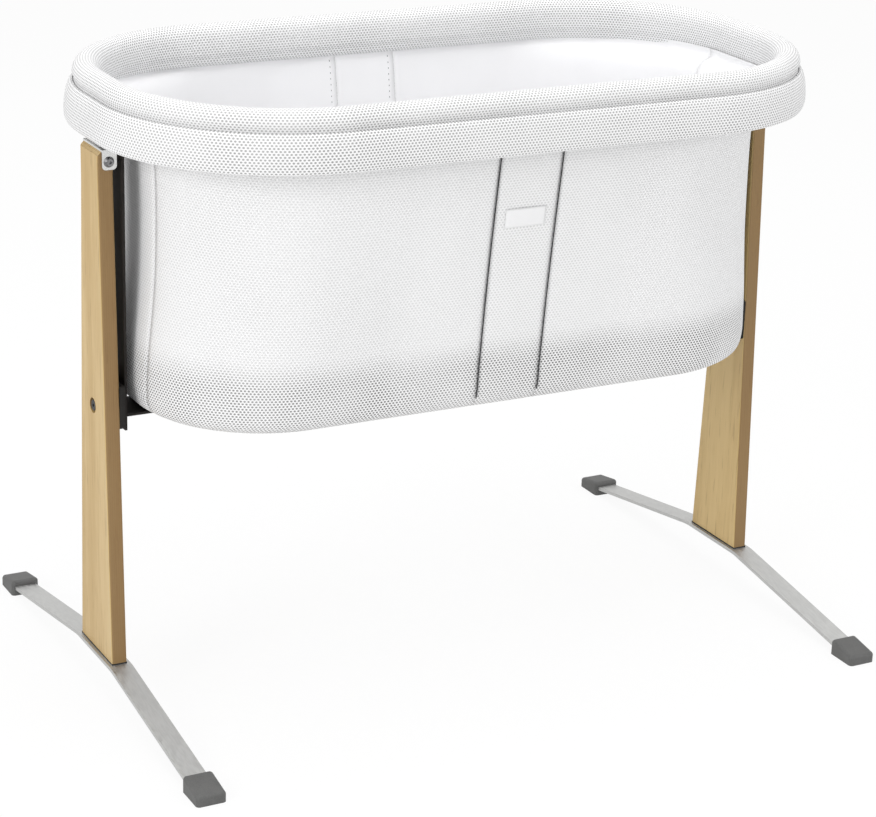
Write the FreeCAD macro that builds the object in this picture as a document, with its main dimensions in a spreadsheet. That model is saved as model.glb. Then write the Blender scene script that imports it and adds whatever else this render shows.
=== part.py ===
import FreeCAD, Part
import os
import re
import Sketcher

# Rocking cradle: bed hung on a pivot at each leg top, lower end guided in a slot block
# Frame: millimetres, X along the length, Y to the back, Z up, floor at zero, centred

SIZES = {
    # driving sizes: belly of the tub, leg top, rim width, heights of guide and tub floor
    "bed_half_length": 349, "leg_top_z": 575, "leg_bottom_z": 43, "ring_half_width": 195,
    "guide_pin_z": 325.5, "tub_low_z": 305,
    # legs, laminated board, tapered to a parallel head
    "leg_thickness": 16, "leg_foot_half": 44.5, "leg_head_half": 24, "leg_head_tall": 35,
    "leg_ease": 2, "leg_top_bevel": 4,
    # sprung foot bars and their caps
    "bar_width": 23.5, "bar_thick": 4, "bar_flat_half": 49.5, "bar_tip_z": 7, "bar_bend": 60,
    "gasket_thick": 1.5, "cap_width": 31, "cap_start_y": 249, "cap_long": 38,
    "cap_heel_z": 17.5, "cap_toe_z": 11, "cap_round": 4, "cap_toe_wall": 12,
    "foot_screw_y": 24, "foot_screw_shank": 2.5, "foot_screw_head": 5,
    "foot_screw_sink": 2.5, "foot_screw_reach": 40,
    # hanger saddle over the leg head, with ear for the pivot pin
    "saddle_long": 15, "saddle_thick": 2, "saddle_drop": 18, "saddle_corner": 4,
    "ear_thick": 3, "ear_round": 9.5, "ear_half": 9.5, "saddle_bolt_in": 8,
    "saddle_bolt_drop": 10, "saddle_bolt_shank": 2.5, "saddle_bolt_reach": 16,
    "saddle_bolt_head": 5.5, "saddle_bolt_crown": 3.5, "saddle_bolt_tall": 3,
    "socket_across": 1.9, "socket_deep": 1.8,
    # pivot pin along X, its clip and the bush running on it
    "pivot_rise": 11, "pin_radius": 5, "pin_head_radius": 7, "pin_head_tall": 3,
    "pin_shoulder": 6.5, "pin_play": 0.5, "pin_neck": 4, "pin_clip_thick": 1.2, "pin_tail": 3,
    "clip_radius": 8, "clip_gape": 6, "clip_play": 1.5, "running_gap": 0.05,
    "bush_radius": 7, "bush_flange": 9.5, "bush_flange_thick": 1.5, "bush_proud": 4,
    # guide block on the leg, slot concentric with the pivot
    "block_thick": 6, "block_gap": 2.5, "block_half": 33, "block_below": 33.5,
    "block_above": 11.5, "block_round": 3, "slot_half": 4.35, "slot_half_angle": 5.6,
    "slot_deep": 3.8, "guide_pin_radius": 4, "guide_pin_out": 5.5, "guide_pin_spigot": 3,
    "guide_bolt_drop": 16, "guide_bolt_shank": 3, "guide_bolt_bite": 4,
    "guide_bolt_head": 5.5, "guide_bolt_tall": 3, "counterbore_radius": 8,
    "counterbore_deep": 5, "washer_radius": 7.8, "washer_thick": 1.5,
    "bore_clearance": 0.1,
    # hanger strip of the bed with welded shelf
    "strip_gap": 11, "strip_thick": 2.5, "strip_half": 25, "strip_tail": 38,
    "strip_above": 10, "shelf_gap": 0.5, "shelf_long": 82.5, "board_screw_in": 18,
    "board_screw_y": 14, "board_screw_shank": 2, "board_screw_head": 4.5,
    "board_screw_tall": 2, "board_screw_bite": 6,
    # rim ring tube on the strips, padded roll round it
    "ring_rise": 36, "ring_square": 27, "ring_tube": 6, "roll_half_thick": 14,
    "roll_half_tall": 22.5, "roll_round": 13, "roll_drop": 1.5, "soft_gap": 0.3,
    "roll_slot_clear": 1,
    # rim skirt sections from the hem up: drop below the ring, stand-off at ends and sides, wall
    "skirt_drop_a": 39, "skirt_drop_b": 28, "skirt_drop_c": 12, "skirt_drop_d": -3,
    "skirt_end_a": 21, "skirt_end_b": 21.5, "skirt_end_c": 19.5, "skirt_end_d": 16.1,
    "skirt_side_a": 19.5, "skirt_side_b": 20, "skirt_side_c": 18.5, "skirt_side_d": 16.1,
    "skirt_wall_a": 5, "skirt_wall_b": 5.5, "skirt_wall_c": 4, "skirt_wall_d": 1.7,
    "skirt_round": 16, "skirt_inner_round": 12,
    # tub wall sections from the floor up: rise, tuck at the ends, at the sides, at the corners
    "tub_rise_b": 17, "tub_rise_c": 57, "tub_rise_d": 155, "tub_neck": 22.5, "tub_top_gap": 0.5,
    "tub_tuck_a": 21, "tub_tuck_b": 3, "tub_tuck_c": 0, "tub_tuck_d": 8, "tub_tuck_e": 7,
    "tub_tuck_f": -7.5,
    "tub_side_a": 61, "tub_side_b": 43, "tub_side_c": 37, "tub_side_d": 25, "tub_side_e": 8,
    "tub_side_f": 2,
    "tub_square_a": 12, "tub_square_b": 14, "tub_square_c": 12, "tub_square_d": 9,
    "tub_square_e": 7, "tub_square_f": 28,
    "mesh_thick": 2, "seam_half_x": 35, "seam_half_y": 45, "piping_half": 1.3,
    "piping_proud": 1, "piping_foot": 1, "piping_head": 9.5,
    "label_half": 22.5, "label_drop": 96.5, "label_tall": 20,
    # bottom panel, board
    "bottom_screw_hole": 6, "board_inset": 7, "board_gap": 0.5, "board_thick": 8,
    # mattress sections from below: rise over the board, draw-in from its widest outline
    "pad_gap": 10, "pad_square": 6,
    "pad_rise_a": 0.5, "pad_rise_b": 10, "pad_rise_c": 25, "pad_rise_d": 40, "pad_rise_e": 49,
    "pad_rise_f": 53,
    "pad_draw_a": 10, "pad_draw_b": 0, "pad_draw_c": 2, "pad_draw_d": 0, "pad_draw_e": 10,
    "pad_draw_f": 44,
    # one overrun for every cutting tool
    "cut_overrun": 5, "tool_reach": 900,
}
LEVELS = "abcdef"

# Sizes that follow from the driving ones
DERIVED = {
    "strip_inner_x": "bed_half_length + strip_gap",
    "strip_outer_x": "strip_inner_x + strip_thick",
    "block_inner_x": "strip_outer_x + block_gap",
    "leg_inner_x": "block_inner_x + block_thick",
    "leg_outer_x": "leg_inner_x + leg_thickness",
    "leg_head_z": "leg_top_z - leg_head_tall",
    "bar_tip_y": "cap_start_y + cap_long - cap_toe_wall",
    "cap_end_y": "cap_start_y + cap_long",
    "saddle_inner_x": "leg_inner_x - ear_thick",
    "saddle_outer_x": "saddle_inner_x + saddle_long",
    "saddle_bolt_x": "saddle_inner_x + saddle_bolt_in",
    "saddle_bolt_z": "leg_top_z - saddle_bolt_drop",
    "pivot_z": "leg_top_z + pivot_rise",
    "pin_shoulder_end": "strip_outer_x + bush_flange_thick + pin_play",
    "bush_inner_x": "strip_inner_x - bush_proud",
    "pin_clip_x": "bush_inner_x - clip_play",
    "pin_end_x": "pin_clip_x - pin_tail",
    "slot_radius": "pivot_z - guide_pin_z",
    "block_low_z": "guide_pin_z - block_below",
    "block_high_z": "guide_pin_z + block_above",
    "guide_bolt_z": "guide_pin_z - guide_bolt_drop",
    "guide_bolt_end_x": "leg_inner_x - guide_bolt_bite",
    "ring_half_length": "strip_outer_x + ring_tube",
    "ring_corner": "ring_half_width - ring_square",
    "ring_z": "pivot_z + ring_rise",
    "roll_z": "ring_z - roll_drop",
    "strip_low_z": "guide_pin_z - strip_tail",
    "strip_high_z": "ring_z + strip_above",
    "shelf_top_z": "tub_low_z - shelf_gap",
    "shelf_reach_x": "strip_outer_x - shelf_long",
    "board_low_z": "tub_low_z + mesh_thick + board_gap",
    "board_top_z": "board_low_z + board_thick",
    "board_screw_x": "shelf_reach_x + board_screw_in",
    "board_screw_tip_z": "board_low_z + board_screw_bite",
    "skirt_corner": "ring_corner + skirt_round",
    "tub_z_a": "tub_low_z",
    "tub_z_b": "tub_low_z + tub_rise_b",
    "tub_z_c": "tub_low_z + tub_rise_c",
    "tub_z_d": "tub_low_z + tub_rise_d",
    "tub_z_f": "roll_z - roll_half_tall - tub_top_gap",
    "tub_z_e": "tub_z_f - tub_neck",
    "piping_low_z": "tub_z_b + piping_foot",
    "piping_high_z": "tub_z_f - piping_head",
    "label_low_z": "tub_z_f - label_drop",
    "label_high_z": "label_low_z + label_tall",
    "board_half_length": "tub_long_a - board_inset",
    "board_half_width": "tub_wide_a - board_inset",
    "board_corner": "tub_corner_a - board_inset",
}
for k in "abcd":
    DERIVED["skirt_z_" + k] = "ring_z - skirt_drop_" + k
    DERIVED["skirt_out_" + k] = "ring_half_length + skirt_end_" + k
    DERIVED["skirt_wide_" + k] = "ring_half_width + skirt_side_" + k
    DERIVED["skirt_in_" + k] = "skirt_out_%s - skirt_wall_%s" % (k, k)
    DERIVED["skirt_wide_in_" + k] = "skirt_wide_%s - skirt_wall_%s" % (k, k)
for k in LEVELS:
    DERIVED["tub_long_" + k] = "bed_half_length - tub_tuck_" + k
    DERIVED["tub_wide_" + k] = "ring_half_width - tub_side_" + k
    DERIVED["tub_corner_" + k] = "tub_wide_%s - tub_square_%s" % (k, k)
    DERIVED["pad_z_" + k] = "board_top_z + pad_rise_" + k
    DERIVED["pad_long_" + k] = "tub_long_b - pad_gap - pad_draw_" + k
    DERIVED["pad_wide_" + k] = "tub_wide_b - pad_gap - pad_draw_" + k

doc = FreeCAD.newDocument("cradle")
sheet = doc.addObject("Spreadsheet::Sheet", "sizes")
for row, (alias, value) in enumerate(SIZES.items(), start=1):
    sheet.set("A%d" % row, alias)
    sheet.set("B%d" % row, str(value))
    sheet.setAlias("B%d" % row, alias)
doc.recompute()

V = FreeCAD.Vector
ALONG = {
    "X": FreeCAD.Rotation(V(0, 1, 0), 90),
    "Y": FreeCAD.Rotation(V(1, 0, 0), -90),
    "Z": FreeCAD.Rotation(),
}
SECTION_TURN = FreeCAD.Rotation(V(1, 1, 1), 120)
nodes = {}


def sized(text):
    """Spell out derived sizes and point every sheet alias at the sheet."""
    def spell(match):
        name = match.group(1)
        return "(%s)" % sized(DERIVED[name]) if name in DERIVED else "sizes." + name
    return re.sub(r"\b([a-z]+_[a-z0-9_]+)\b", spell, text)


def value(text):
    """Number of an expression over the sheet."""
    return float(sheet.evalExpression(sized(text)))


def bind(obj, **values):
    """Bind properties of an object to expressions over the sheet."""
    for key, text in values.items():
        obj.setExpression(key.replace("__", "."), sized(text))
    return obj


def place(obj, x="0", y="0", z="0"):
    """Bind the base point of an object's placement."""
    return bind(obj, Placement__Base__x=x, Placement__Base__y=y, Placement__Base__z=z)


def box(name, x, y, z, dx, dy, dz):
    """A box from its low corner and its three sizes."""
    obj = doc.addObject("Part::Box", name)
    bind(obj, Length=dx, Width=dy, Height=dz)
    return place(obj, x, y, z)


def rod(name, axis, x, y, z, radius, length, top_radius=None):
    """A cylinder, or a cone where a top radius is given, along one axis."""
    if top_radius is None:
        obj = doc.addObject("Part::Cylinder", name)
        bind(obj, Radius=radius, Height=length)
    else:
        obj = doc.addObject("Part::Cone", name)
        bind(obj, Radius1=radius, Radius2=top_radius, Height=length)
    obj.Placement = FreeCAD.Placement(V(), ALONG[axis])
    return place(obj, x, y, z)


def hexagon(name, axis, x, y, z, radius, length):
    """A six-sided prism along one axis, for driver sockets."""
    obj = doc.addObject("Part::Prism", name)
    obj.Polygon = 6
    bind(obj, Circumradius=radius, Height=length)
    obj.Placement = FreeCAD.Placement(V(), ALONG[axis])
    return place(obj, x, y, z)


def fuse(name, *parts):
    obj = doc.addObject("Part::MultiFuse", name)
    obj.Shapes = list(parts)
    obj.Refine = True
    return obj


def cut(name, base, *tools):
    obj = doc.addObject("Part::Cut", name)
    obj.Base = base
    obj.Tool = tools[0] if len(tools) == 1 else fuse(name + "_tools", *tools)
    return obj


def common(name, base, tool):
    obj = doc.addObject("Part::Common", name)
    obj.Base, obj.Tool = base, tool
    return obj


def group(name, *parts):
    obj = doc.addObject("Part::Compound", name)
    obj.Links = list(parts)
    return obj


def mirror(name, source, axis="X"):
    obj = doc.addObject("Part::Mirroring", name)
    obj.Source = source
    obj.Normal = V(1, 0, 0) if axis == "X" else V(0, 1, 0)
    return obj


def both_sides(name, left):
    """Keep a left piece and its mirrored right twin as nodes."""
    nodes[name + "_left"] = left
    nodes[name + "_right"] = mirror(name + "_right", left)


def outline(sketch, points):
    """Closed outline with every corner bound to two expressions."""
    count = len(points)
    guess = [tuple(value(t) for t in p) for p in points]
    for i in range(count):
        a, b = guess[i], guess[(i + 1) % count]
        sketch.addGeometry(Part.LineSegment(V(a[0], a[1], 0), V(b[0], b[1], 0)), False)
    for i in range(count):
        sketch.addConstraint(
            Sketcher.Constraint("Coincident", i, 2, (i + 1) % count, 1))
    for i, (x_text, y_text) in enumerate(points):
        for kind, text, start in (("DistanceX", x_text, guess[i][0]),
                                  ("DistanceY", y_text, guess[i][1])):
            at = sketch.addConstraint(Sketcher.Constraint(kind, -1, 1, i, 1, start))
            sketch.setExpression("Constraints[%d]" % at, sized(text))


def oval(sketch, long_half, wide_half, corner):
    """Rounded rectangle about the sketch origin from three bound sizes."""
    a, b, r = (value(t) for t in (long_half, wide_half, corner))
    quarter = FreeCAD.Units.Quantity("90 deg").Value
    turns = [(a - r, r - b, -quarter), (a - r, b - r, 0), (r - a, b - r, quarter),
             (r - a, r - b, 2 * quarter)]
    ends = [((r - a, -b), (a - r, -b)), ((a, r - b), (a, b - r)),
            ((a - r, b), (r - a, b)), ((-a, b - r), (-a, r - b))]
    rad = FreeCAD.Units.Quantity("1 deg").getValueAs("rad").Value
    for (p, q), (cx, cy, start) in zip(ends, turns):
        sketch.addGeometry(Part.LineSegment(V(p[0], p[1], 0), V(q[0], q[1], 0)), False)
        circle = Part.Circle(V(cx, cy, 0), V(0, 0, 1), r)
        sketch.addGeometry(
            Part.ArcOfCircle(circle, start * rad, (start + quarter) * rad), False)
    rules = [Sketcher.Constraint("Tangent", i, 2, (i + 1) % 8, 1) for i in range(8)]
    rules += [Sketcher.Constraint("Horizontal", 0), Sketcher.Constraint("Horizontal", 4),
              Sketcher.Constraint("Vertical", 2), Sketcher.Constraint("Vertical", 6)]
    rules += [Sketcher.Constraint("Equal", 1, i) for i in (3, 5, 7)]
    rules.append(Sketcher.Constraint("Symmetric", 0, 1, 4, 1, -1, 1))
    sketch.addConstraint(rules)
    for rule, text in ((Sketcher.Constraint("DistanceX", -1, 1, 2, 1, a), long_half),
                       (Sketcher.Constraint("DistanceY", -1, 1, 4, 1, b), wide_half),
                       (Sketcher.Constraint("Radius", 1, r), corner)):
        at = sketch.addConstraint(rule)
        sketch.setExpression("Constraints[%d]" % at, sized(text))


def oval_at(name, z, long_half, wide_half, corner):
    """A level oval sketch at a height."""
    sketch = doc.addObject("Sketcher::SketchObject", name)
    oval(sketch, long_half, wide_half, corner)
    return place(sketch, z=z)


def slab(name, z, long_half, wide_half, corner, thick):
    """An upright plate with an oval outline."""
    obj = doc.addObject("Part::Extrusion", name)
    obj.Base = oval_at(name + "_outline", z, long_half, wide_half, corner)
    obj.DirMode = "Normal"
    obj.Solid = True
    return bind(obj, LengthFwd=thick)


def loft(name, rows, straight=False):
    """Smooth or straight-sided solid through level ovals, rows of (z, long, wide, corner)."""
    obj = doc.addObject("Part::Loft", name)
    obj.Sections = [oval_at("%s_%d" % (name, i), *row) for i, row in enumerate(rows)]
    obj.Solid = True
    obj.Ruled = straight
    return obj


def pad_body(name, points, start, length):
    """Body padded along X from an outline in the YZ plane."""
    body = doc.addObject("PartDesign::Body", name + "_body")
    sketch = body.newObject("Sketcher::SketchObject", name + "_outline")
    plane = [f for f in body.Origin.OriginFeatures if f.Role == "YZ_Plane"][0]
    sketch.AttachmentSupport = (plane, [""])
    sketch.MapMode = "FlatFace"
    sketch.setExpression("AttachmentOffset.Base.z", sized(start))
    outline(sketch, points)
    pad = body.newObject("PartDesign::Pad", name + "_pad")
    pad.Profile = sketch
    bind(pad, Length=length)
    doc.recompute()
    return body, pad


def dress(body, name, kind, base, keep, size):
    """Fillet or chamfer the edges of a feature that pass a test."""
    feature = body.newObject("PartDesign::" + kind, name)
    edges = ["Edge%d" % (i + 1) for i, e in enumerate(base.Shape.Edges) if keep(e.BoundBox)]
    feature.Base = (base, edges)
    bind(feature, **{"Radius" if kind == "Fillet" else "Size": size})
    doc.recompute()
    return feature


def near(a, b):
    return abs(a - b) < value("running_gap")


# Foot screws, gasket and sprung bar under each leg
leg_mid_x = "-leg_outer_x + leg_thickness / 2"
bar_under = "leg_bottom_z - gasket_thick - bar_thick"
screws = []
for tag, y in (("front", "-foot_screw_y"), ("back", "foot_screw_y")):
    head = rod("foot_screw_head_" + tag, "Z", leg_mid_x, y, bar_under,
               "foot_screw_head", "foot_screw_sink", "foot_screw_shank")
    shank = rod("foot_screw_shank_" + tag, "Z", leg_mid_x, y, bar_under,
                "foot_screw_shank", "bar_thick + gasket_thick + foot_screw_reach")
    screws.append(fuse("foot_screw_" + tag, head, shank))
foot_screws = group("foot_screws", *screws)
both_sides("foot_screws", foot_screws)

bar_top = "leg_bottom_z - gasket_thick"
bar_points = [("-bar_tip_y", "bar_tip_z"), ("-bar_tip_y", "bar_tip_z - bar_thick"),
              ("-bar_flat_half", bar_under), ("bar_flat_half", bar_under),
              ("bar_tip_y", "bar_tip_z - bar_thick"), ("bar_tip_y", "bar_tip_z"),
              ("bar_flat_half", bar_top), ("-bar_flat_half", bar_top)]
bar_body, bar_pad = pad_body("foot_bar", bar_points,
                             "-leg_outer_x + leg_thickness / 2 - bar_width / 2", "bar_width")
dress(bar_body, "foot_bar_bend", "Fillet", bar_pad,
      lambda b: near(b.YLength, 0) and near(b.ZLength, 0)
      and near(abs(b.YMin), value("bar_flat_half")), "bar_bend")
both_sides("foot_bar", cut("foot_bar_left", bar_body, foot_screws))
gasket = box("gasket_blank", "-leg_outer_x", "-leg_foot_half", bar_top,
             "leg_thickness", "2 * leg_foot_half", "gasket_thick")
both_sides("foot_gasket", cut("foot_gasket_left", gasket, foot_screws))

cap_points = [("-cap_end_y", "0"), ("-cap_start_y", "0"), ("-cap_start_y", "cap_heel_z"),
              ("-cap_end_y", "cap_toe_z")]
cap_body, cap_pad = pad_body("foot_cap", cap_points,
                             "-leg_outer_x + leg_thickness / 2 - cap_width / 2", "cap_width")
dress(cap_body, "foot_cap_round", "Fillet", cap_pad, lambda b: b.ZMax > value("bar_thick"),
      "cap_round")
cap_front = cut("foot_cap_front_left", cap_body, bar_body)
both_sides("foot_cap_front", cap_front)
both_sides("foot_cap_back", mirror("foot_cap_back_left", cap_front, "Y"))

# Laminated leg with counterbore for the guide bolt
leg_points = [("-leg_foot_half", "leg_bottom_z"), ("leg_foot_half", "leg_bottom_z"),
              ("leg_head_half", "leg_head_z"), ("leg_head_half", "leg_top_z"),
              ("-leg_head_half", "leg_top_z"), ("-leg_head_half", "leg_head_z")]
leg_body, leg_pad = pad_body("leg", leg_points, "-leg_outer_x", "leg_thickness")
leg_bevel = dress(leg_body, "leg_bevel", "Chamfer", leg_pad,
                  lambda b: near(b.XMax, -value("leg_outer_x"))
                  and near(b.ZMin, value("leg_top_z")), "leg_top_bevel")
dress(leg_body, "leg_eased", "Fillet", leg_bevel,
      lambda b: near(b.XLength, 0) and b.ZLength > value("leg_foot_half"), "leg_ease")
bolt_bores = [rod("saddle_bore_" + tag, "Y", "-saddle_bolt_x", y, "saddle_bolt_z",
                  "saddle_bolt_shank + bore_clearance", "saddle_bolt_reach + cut_overrun")
              for tag, y in (("front", "-leg_head_half - cut_overrun"),
                             ("back", "leg_head_half - saddle_bolt_reach"))]
sink = rod("counterbore", "X", "-leg_outer_x - cut_overrun", "0", "guide_bolt_z",
           "counterbore_radius", "counterbore_deep + cut_overrun")
through = rod("guide_bore", "X", "-leg_outer_x", "0", "guide_bolt_z",
              "guide_bolt_shank + bore_clearance", "leg_thickness + cut_overrun")
foot_bores = [rod("foot_bore_" + tag, "Z", leg_mid_x, y, "leg_bottom_z - cut_overrun",
                  "foot_screw_shank + bore_clearance", "foot_screw_reach + cut_overrun")
              for tag, y in (("front", "-foot_screw_y"), ("back", "foot_screw_y"))]
both_sides("leg", cut("leg_left", leg_body, sink, through, *(bolt_bores + foot_bores)))

# Saddle folded over the leg head, its ear carries the pivot pin
plate = box("saddle_plate", "-saddle_outer_x", "-leg_head_half - saddle_thick", "leg_top_z",
            "saddle_long", "2 * leg_head_half + 2 * saddle_thick", "saddle_thick")
tabs = []
for tag, y in (("front", "-leg_head_half - saddle_thick"), ("back", "leg_head_half")):
    tab = box("saddle_tab_" + tag, "-saddle_outer_x", y, "leg_top_z - saddle_drop",
              "saddle_long", "saddle_thick", "saddle_drop + saddle_thick")
    hole = rod("saddle_tab_hole_" + tag, "Y", "-saddle_bolt_x", y + " - cut_overrun",
               "saddle_bolt_z", "saddle_bolt_shank + bore_clearance",
               "saddle_thick + 2 * cut_overrun")
    clips = [box("saddle_nip_%s_%d" % (tag, side), x, y + " - cut_overrun",
                 "leg_top_z - saddle_drop - cut_overrun", "saddle_corner + cut_overrun",
                 "saddle_thick + 2 * cut_overrun", "saddle_corner + cut_overrun")
             for side, x in enumerate(("-saddle_outer_x - cut_overrun",
                                       "-saddle_inner_x - saddle_corner"))]
    rounds = [rod("saddle_round_%s_%d" % (tag, side), "Y", x, y,
                  "leg_top_z - saddle_drop + saddle_corner", "saddle_corner", "saddle_thick")
              for side, x in enumerate(("-saddle_outer_x + saddle_corner",
                                        "-saddle_inner_x - saddle_corner"))]
    nipped = cut("saddle_tab_nipped_" + tag, tab, *clips)
    tabs.append(cut("saddle_tab_done_" + tag,
                    fuse("saddle_tab_rounded_" + tag, nipped, *rounds), hole))
ear_foot = box("ear_foot", "-saddle_inner_x - ear_thick", "-ear_half", "leg_top_z",
               "ear_thick", "2 * ear_half", "pivot_z - leg_top_z")
ear_top = rod("ear_top", "X", "-saddle_inner_x - ear_thick", "0", "pivot_z", "ear_round",
              "ear_thick")
pin_hole = rod("ear_pin_hole", "X", "-saddle_outer_x", "0", "pivot_z", "pin_radius",
               "saddle_long + cut_overrun")
both_sides("saddle", cut("saddle_left", fuse("saddle_blank", plate, ear_foot, ear_top, *tabs),
                         pin_hole))

bolt_seat = "-leg_head_half - saddle_thick"
bolt_blank = fuse(
    "saddle_bolt_blank",
    rod("saddle_bolt_stem", "Y", "-saddle_bolt_x", bolt_seat, "saddle_bolt_z",
        "saddle_bolt_shank", "saddle_thick + saddle_bolt_reach"),
    rod("saddle_bolt_dome", "Y", "-saddle_bolt_x", bolt_seat + " - saddle_bolt_tall",
        "saddle_bolt_z", "saddle_bolt_crown", "saddle_bolt_tall", "saddle_bolt_head"))
bolt_front = cut("saddle_bolt_front", bolt_blank,
                 hexagon("saddle_bolt_socket", "Y", "-saddle_bolt_x",
                         bolt_seat + " - saddle_bolt_tall - cut_overrun", "saddle_bolt_z",
                         "socket_across", "socket_deep + cut_overrun"))
bolts = [bolt_front, mirror("saddle_bolt_back", bolt_front, "Y")]
both_sides("saddle_bolts", group("saddle_bolts_left", *bolts))

# Riveted pivot pin with shoulder, neck and clip
pin_parts = [
    rod("pin_head", "X", "-saddle_inner_x - ear_thick - pin_head_tall", "0", "pivot_z",
        "pin_head_radius", "pin_head_tall"),
    rod("pin_shoulder_part", "X", "-saddle_inner_x", "0", "pivot_z", "pin_shoulder",
        "saddle_inner_x - pin_shoulder_end"),
    rod("pin_shaft", "X", "-saddle_inner_x - ear_thick - pin_head_tall", "0", "pivot_z",
        "pin_radius", "saddle_inner_x + ear_thick + pin_head_tall - pin_clip_x"),
    rod("pin_neck_part", "X", "-pin_clip_x", "0", "pivot_z", "pin_neck",
        "pin_clip_x - pin_end_x"),
    rod("pin_end", "X", "-pin_clip_x + pin_clip_thick", "0", "pivot_z", "pin_radius",
        "pin_clip_x - pin_clip_thick - pin_end_x"),
]
both_sides("pivot_pin", fuse("pivot_pin_left", *pin_parts))
clip_ring = cut("clip_ring", rod("clip_disc", "X", "-pin_clip_x", "0", "pivot_z",
                                 "clip_radius", "pin_clip_thick"),
                rod("clip_hole", "X", "-pin_clip_x - cut_overrun", "0", "pivot_z", "pin_neck",
                    "pin_clip_thick + 2 * cut_overrun"))
clip_gape = box("clip_gape_tool", "-pin_clip_x - cut_overrun", "-clip_gape / 2",
                "pivot_z - clip_radius - cut_overrun", "pin_clip_thick + 2 * cut_overrun",
                "clip_gape", "clip_radius + cut_overrun")
both_sides("pivot_clip", cut("pivot_clip_left", clip_ring, clip_gape))
bush = fuse("bush_blank",
            rod("bush_flange_part", "X", "-strip_outer_x - bush_flange_thick", "0", "pivot_z",
                "bush_flange", "bush_flange_thick"),
            rod("bush_sleeve", "X", "-strip_outer_x - bush_flange_thick", "0", "pivot_z",
                "bush_radius", "strip_outer_x + bush_flange_thick - bush_inner_x"))
bush_bore = rod("bush_bore", "X", "-strip_outer_x - cut_overrun", "0", "pivot_z",
                "pin_radius + running_gap", "strip_outer_x - bush_inner_x + 2 * cut_overrun")
both_sides("pivot_bush", cut("pivot_bush_left", bush, bush_bore))

# Guide block with its slot cut on an arc about the pivot
leg_inner = "-leg_inner_x"
block_points = [("-block_half", "block_low_z"), ("block_half", "block_low_z"),
                ("block_half", "block_high_z"), ("-block_half", "block_high_z")]
block_body, block_pad = pad_body("guide_block", block_points, leg_inner, "block_thick")
dress(block_body, "guide_block_round", "Fillet", block_pad,
      lambda b: near(b.YLength, 0) and near(b.ZLength, 0), "block_round")
slot_start = "-block_inner_x - slot_deep"
slot_long = "slot_deep + cut_overrun"
arc_ring = cut("slot_ring",
               rod("slot_outer", "X", slot_start, "0", "pivot_z", "slot_radius + slot_half",
                   slot_long),
               rod("slot_inner", "X", slot_start + " - cut_overrun", "0", "pivot_z",
                   "slot_radius - slot_half", slot_long + " + 2 * cut_overrun"))
slot_y = "slot_radius * sin(slot_half_angle * 1 deg)"
slot_z = "pivot_z - slot_radius * cos(slot_half_angle * 1 deg)"
slot_window = box("slot_window", slot_start, "-" + slot_y,
                  "pivot_z - slot_radius - slot_half - cut_overrun", slot_long,
                  "2 * " + slot_y, "block_high_z - pivot_z + slot_radius + cut_overrun")
slot_ends = [rod("slot_end_" + tag, "X", slot_start, sign + slot_y, slot_z, "slot_half",
                 slot_long) for tag, sign in (("front", "-"), ("back", ""))]
bolt_hole = rod("block_bolt_hole", "X", leg_inner + " - cut_overrun", "0", "guide_bolt_z",
                "guide_bolt_shank + bore_clearance",
                "guide_bolt_bite + cut_overrun")
both_sides("guide_block", cut("guide_block_left", block_body,
                              common("slot_arc", arc_ring, slot_window), bolt_hole, *slot_ends))

sink_floor = "-leg_outer_x + counterbore_deep"
washer = cut("guide_washer_left",
             rod("washer_disc", "X", sink_floor + " - washer_thick", "0", "guide_bolt_z",
                 "washer_radius", "washer_thick"),
             rod("washer_hole", "X", sink_floor + " - washer_thick - cut_overrun", "0",
                 "guide_bolt_z", "guide_bolt_shank + bore_clearance",
                 "washer_thick + 2 * cut_overrun"))
both_sides("guide_washer", washer)
guide_head = sink_floor + " - washer_thick - guide_bolt_tall"
guide_bolt = cut("guide_bolt_left",
                 fuse("guide_bolt_blank",
                      rod("guide_bolt_cap", "X", guide_head, "0", "guide_bolt_z",
                          "guide_bolt_head", "guide_bolt_tall"),
                      rod("guide_bolt_stem", "X", guide_head, "0", "guide_bolt_z",
                          "guide_bolt_shank",
                          "leg_outer_x - counterbore_deep + washer_thick + guide_bolt_tall"
                          " - guide_bolt_end_x")),
                 hexagon("guide_bolt_socket", "X", guide_head + " - cut_overrun", "0",
                         "guide_bolt_z", "socket_across", "socket_deep + cut_overrun"))
both_sides("guide_bolt", guide_bolt)

# Hanger strip of the bed, guide pin riveted in it, shelf under the board
guide_pin = fuse("guide_pin_left",
                 rod("guide_pin_body", "X", "-strip_outer_x - guide_pin_out", "0",
                     "pivot_z - slot_radius", "guide_pin_radius", "guide_pin_out"),
                 rod("guide_pin_rivet", "X", "-strip_outer_x - guide_pin_out", "0",
                     "pivot_z - slot_radius", "guide_pin_spigot",
                     "guide_pin_out + strip_thick"))
both_sides("guide_pin", guide_pin)
board_screws = []
screw_bores = []
for tag, y in (("front", "-board_screw_y"), ("back", "board_screw_y")):
    under = "shelf_top_z - strip_thick"
    board_screws.append(fuse(
        "board_screw_" + tag,
        rod("board_screw_cap_" + tag, "Z", "-board_screw_x", y, under + " - board_screw_tall",
            "board_screw_head", "board_screw_tall"),
        rod("board_screw_stem_" + tag, "Z", "-board_screw_x", y, under,
            "board_screw_shank", "board_screw_tip_z - shelf_top_z + strip_thick")))
    screw_bores.append(rod("board_screw_bore_" + tag, "Z", "-board_screw_x", y,
                           under + " - cut_overrun", "board_screw_shank + bore_clearance",
                           "board_screw_tip_z - shelf_top_z + strip_thick + cut_overrun"))
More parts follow.
